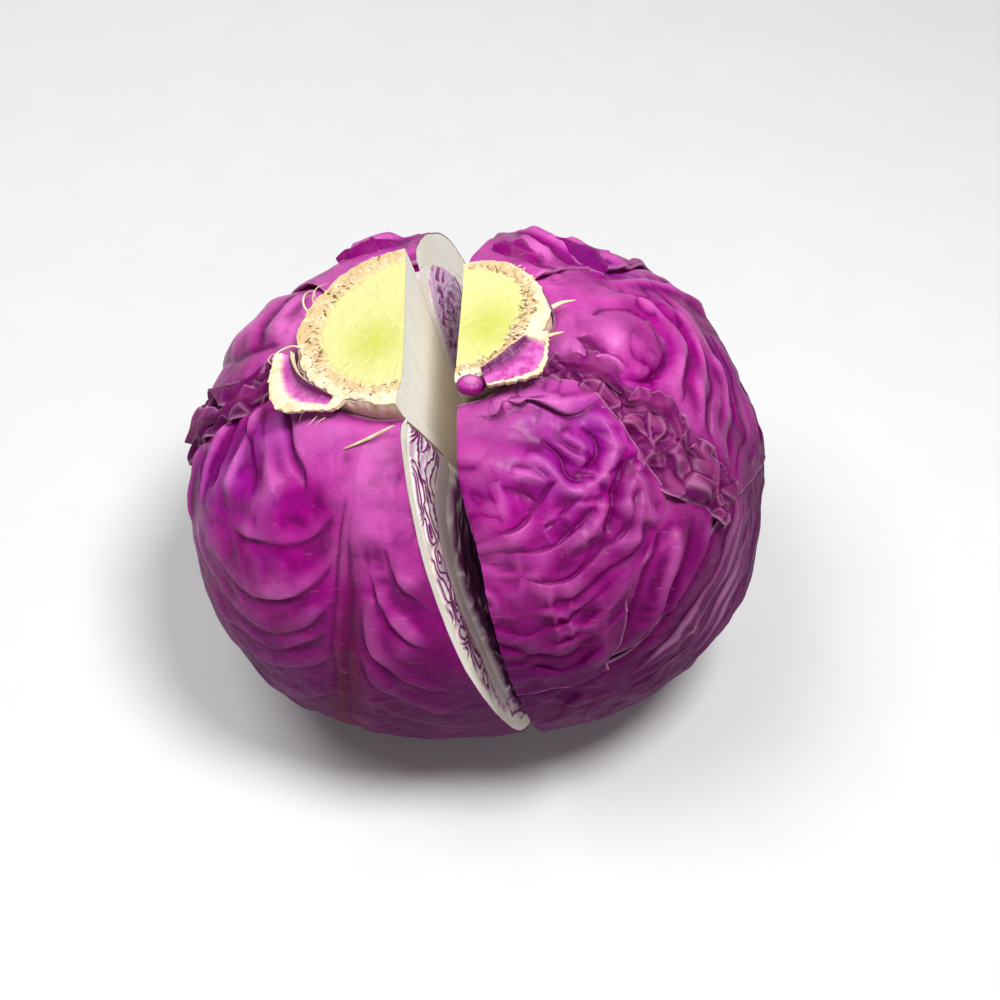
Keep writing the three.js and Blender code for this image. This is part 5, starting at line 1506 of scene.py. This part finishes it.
class CabbageLook(bpy.types.PropertyGroup):
    """The sizes and colours that a user would change."""

    fold_depth: bpy.props.FloatProperty(
        name="Fold depth", description="How deep the leaves' folds are, against the plain measure",
        default=1.25, min=0.0)
    bristle_length: bpy.props.FloatProperty(
        name="Bristle length", description="Length of the bristles on the butt, in metres", default=0.0014,
        min=0.0, unit="LENGTH")
    bristle_count: bpy.props.IntProperty(
        name="Bristles", description="Number of bristles on each butt", default=230, min=0)
    leaf_colour: tone("Leaf", "Middle colour of the leaves", (0.40, 0.0015, 0.25))
    leaf_deep_colour: tone("Leaf, deeper", "Darker patches of the leaves", (0.25, 0.001, 0.16))
    # Dark purple: painted shade low on the leaves and at the leaf bases by the butt, and the own dark purple
    # of dark leaves, of the heart's outside and of the scar on the butt.
    dark_leaf_and_shade_colour: tone("Leaf, low down", "The leaves near the crown", (0.075, 0.0006, 0.056))
    # Pale pink: painted highlight on leaf crests, painted sheen and the pale leaves near the stem, and the
    # real pink of the cut leaf bases.
    pale_pink_and_highlight_colour: tone("Leaf crest", "Tops of the folds", (0.76, 0.19, 0.58))
    # Painted shade in creases and in the cracks of torn leaf.
    crease_shade_colour: tone("Leaf crease", "Bottoms of the creases", (0.11, 0.0007, 0.072))
    leaf_violet_colour: tone("Leaf, violet", "Bluer patches of the leaves", (0.27, 0.003, 0.27))
    # The midrib's own red, and the painted shade in its groove.
    rib_red_and_shade_colour: tone("Midrib", "The reddish hollow down the middle of the front leaf", (0.11, 0.0004, 0.028))
    torn_colour: tone("Torn leaf", "Dry torn leaf", (0.25, 0.036, 0.145))
    torn_dark_colour: tone("Torn leaf, darker", "Darker patches of torn leaf", (0.10, 0.008, 0.06))
    edge_colour: tone("Leaf edge", "Thin pale edges and scratches", (0.72, 0.36, 0.58))
    flesh_colour: tone("Flesh", "White leaf flesh where it is cut", (0.93, 0.91, 0.84))
    flesh_warm_colour: tone("Flesh, warmer", "Warmer patches of the flesh", (0.90, 0.84, 0.68))
    lilac_colour: tone("Lilac flesh", "Flesh stained by the skins beside it", (0.62, 0.42, 0.62))
    membrane_colour: tone("Layer skin", "Purple skins between the layers", (0.24, 0.008, 0.19))
    # Painted shade in the gaps between the layers of the cut face.
    hollow_shade_colour: tone("Hollow", "Dark gaps between the layers", (0.06, 0.002, 0.05))
    pith_colour: tone("Pith", "Middle of the sawn butt", (0.69, 0.66, 0.27))
    pith_green_colour: tone("Pith, greener", "Greenest patch of the butt", (0.54, 0.56, 0.09))
    cream_colour: tone("Cream", "Skin of the stem", (0.86, 0.78, 0.56))
    cream_warm_colour: tone("Cream, warmer", "Warmer streaks of the stem", (0.74, 0.58, 0.33))
    face_tan_colour: tone("Core tan", "Warm side of the cut core", (0.86, 0.71, 0.46))
    bark_colour: tone("Fibre ring", "Dry fibrous ring of the butt", (0.64, 0.45, 0.22))
    bark_dark_colour: tone("Fibre ring, darker", "Brown flecks of the ring", (0.20, 0.10, 0.03))
    floor_colour: tone("Floor", "The plain floor", (0.82, 0.82, 0.82))


class CABBAGE_OT_leaves(bpy.types.Operator):
    """Build the outer leaves with their folds"""

    bl_idname = "mesh.cabbage_leaves"
    bl_label = "Leaves"

    def execute(self, context):
        look = context.scene.cabbage_look
        for leaf in LEAVES:
            parts = leaf_piece(leaf, look.fold_depth)
            make_piece(leaf["name"] + "_skin", parts, material("cabbage_leaf", look), leaf["name"],
                       flip=leaf["half"] is LEFT)
        return {"FINISHED"}


class CABBAGE_OT_flaps(bpy.types.Operator):
    """Build the loose flaps of torn leaf and the curls behind the stem"""

    bl_idname = "mesh.cabbage_flaps"
    bl_label = "Torn flaps"

    def execute(self, context):
        look = context.scene.cabbage_look
        for group, curl in ((TORN_FLAPS, False), (CURLS, True)):
            for name, half, flaps in group:
                parts = [part for flap in flaps for part in flap_parts(half, *flap, curl)]
                make_piece(name, parts, material("cabbage_leaf", look), flip=half is RIGHT)
        return {"FINISHED"}


class CABBAGE_OT_hearts(bpy.types.Operator):
    """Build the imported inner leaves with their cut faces"""

    bl_idname = "mesh.cabbage_hearts"
    bl_label = "Hearts"

    def execute(self, context):
        look = context.scene.cabbage_look
        for half, name, counts in HEARTS:
            parts = heart_parts(half, *counts)
            make_piece(name + "_layers", parts, material("cut_layers", look), name,
                       flip=half is LEFT)
        return {"FINISHED"}


class CABBAGE_OT_stems(bpy.types.Operator):
    """Build the two halves of the stem, their bristles and the leaf bases and bud beside them"""

    bl_idname = "mesh.cabbage_stems"
    bl_label = "Stems"

    def execute(self, context):
        look = context.scene.cabbage_look
        stem, fibre = material("cabbage_stem", look), material("dry_fibre", look)
        for half, side, seed in ((LEFT, "left", 5), (RIGHT, "right", 6)):
            make_piece(side + "_stem", stem_parts(half), stem, side + "_core", flip=half is LEFT)
            hairs = bristle_parts(half, look.bristle_count, look.bristle_length / METRES_PER_MM, seed)
            make_piece(side + "_bristles", hairs, fibre)
        for stub in STUBS:
            make_piece(stub["name"] + "_cut", stub_parts(stub), material("leaf_base_flesh", look),
                       stub["name"], flip=stub["half"] is LEFT)
        make_piece("right_bud_scales", bud_parts(), material("cabbage_leaf", look), "right_bud")
        loose = []
        for half, places, radius in LOOSE_FIBRES:
            points = head_point(half, *smooth_line(places, 14).T)
            loose.append(hair_part(stand(half, points), radius, 0.0))
        make_piece("loose_fibres", loose, fibre)
        make_piece("straw_sliver", sliver_parts(), fibre, flip=True)
        return {"FINISHED"}


class CABBAGE_OT_stage(bpy.types.Operator):
    """Add the floor, the soft lights and the camera"""

    bl_idname = "mesh.cabbage_stage"
    bl_label = "Floor, lights and camera"

    def execute(self, context):
        scene = context.scene
        mesh = bpy.data.meshes.new("floor")
        corners = [(x * FLOOR_REACH, y * FLOOR_REACH, 0) for x, y in ((-1, -1), (1, -1), (1, 1), (-1, 1))]
        mesh.from_pydata(corners, [], [(0, 1, 2, 3)])
        floor = bpy.data.objects.new("floor", mesh)
        mesh.materials.append(material("pale_floor", scene.cabbage_look))
        scene.collection.objects.link(floor)
        for name, place, size, power in LIGHTS:
            light = bpy.data.lights.new(name, "AREA")
            light.shape = "DISK"
            light.size = size
            light.energy = power
            lamp = bpy.data.objects.new(name, light)
            lamp.location = place
            lamp.rotation_euler = (Vector(LIT_POINT) - Vector(place)).to_track_quat("-Z", "Y").to_euler()
            scene.collection.objects.link(lamp)
        world = bpy.data.worlds.new("soft_room")
        world.use_nodes = True
        sky = world.node_tree.nodes["Background"]
        sky.inputs["Color"].default_value = (1.0, 1.0, 1.0, 1.0)
        sky.inputs["Strength"].default_value = SKY_STRENGTH
        scene.world = world
        scene.view_settings.view_transform = "Standard"
        camera = bpy.data.cameras.new("photo_camera")
        camera.lens, camera.sensor_width, camera.clip_start = LENS, SENSOR_WIDTH, 0.01
        camera.shift_x, camera.shift_y = LENS_SHIFT
        eye = bpy.data.objects.new("photo_camera", camera)
        up, back = math.sin(LOOK_DOWN), math.cos(LOOK_DOWN)
        place = Vector(AIM) + Vector((0, -back, up)) * EYE_DISTANCE
        eye.matrix_world = Matrix.Translation(place) @ Matrix((
            (1, 0, 0, 0), (0, up, -back, 0), (0, back, up, 0), (0, 0, 0, 1)))
        scene.collection.objects.link(eye)
        scene.camera = eye
        return {"FINISHED"}


class CABBAGE_PT_panel(bpy.types.Panel):
    """The steps that build the cabbage, and its sizes and colours"""

    bl_label = "Red cabbage"
    bl_idname = "CABBAGE_PT_panel"
    bl_space_type = "VIEW_3D"
    bl_region_type = "UI"
    bl_category = "Cabbage"

    def draw(self, context):
        column = self.layout.column()
        for operator in OPERATORS:
            column.operator(operator.bl_idname)
        for key in CabbageLook.__annotations__:
            column.prop(context.scene.cabbage_look, key)


OPERATORS = (CABBAGE_OT_stage, CABBAGE_OT_leaves, CABBAGE_OT_flaps, CABBAGE_OT_hearts, CABBAGE_OT_stems)
CLASSES = (CabbageLook, *OPERATORS, CABBAGE_PT_panel)


def register():
    for item in CLASSES:
        bpy.utils.register_class(item)
    bpy.types.Scene.cabbage_look = bpy.props.PointerProperty(type=CabbageLook)


def unregister():
    del bpy.types.Scene.cabbage_look
    for item in reversed(CLASSES):
        bpy.utils.unregister_class(item)


def main():
    register()
    bpy.ops.mesh.cabbage_stage()
    bpy.ops.mesh.cabbage_leaves()
    bpy.ops.mesh.cabbage_flaps()
    bpy.ops.mesh.cabbage_hearts()
    bpy.ops.mesh.cabbage_stems()


if __name__ == "__main__":
    main()
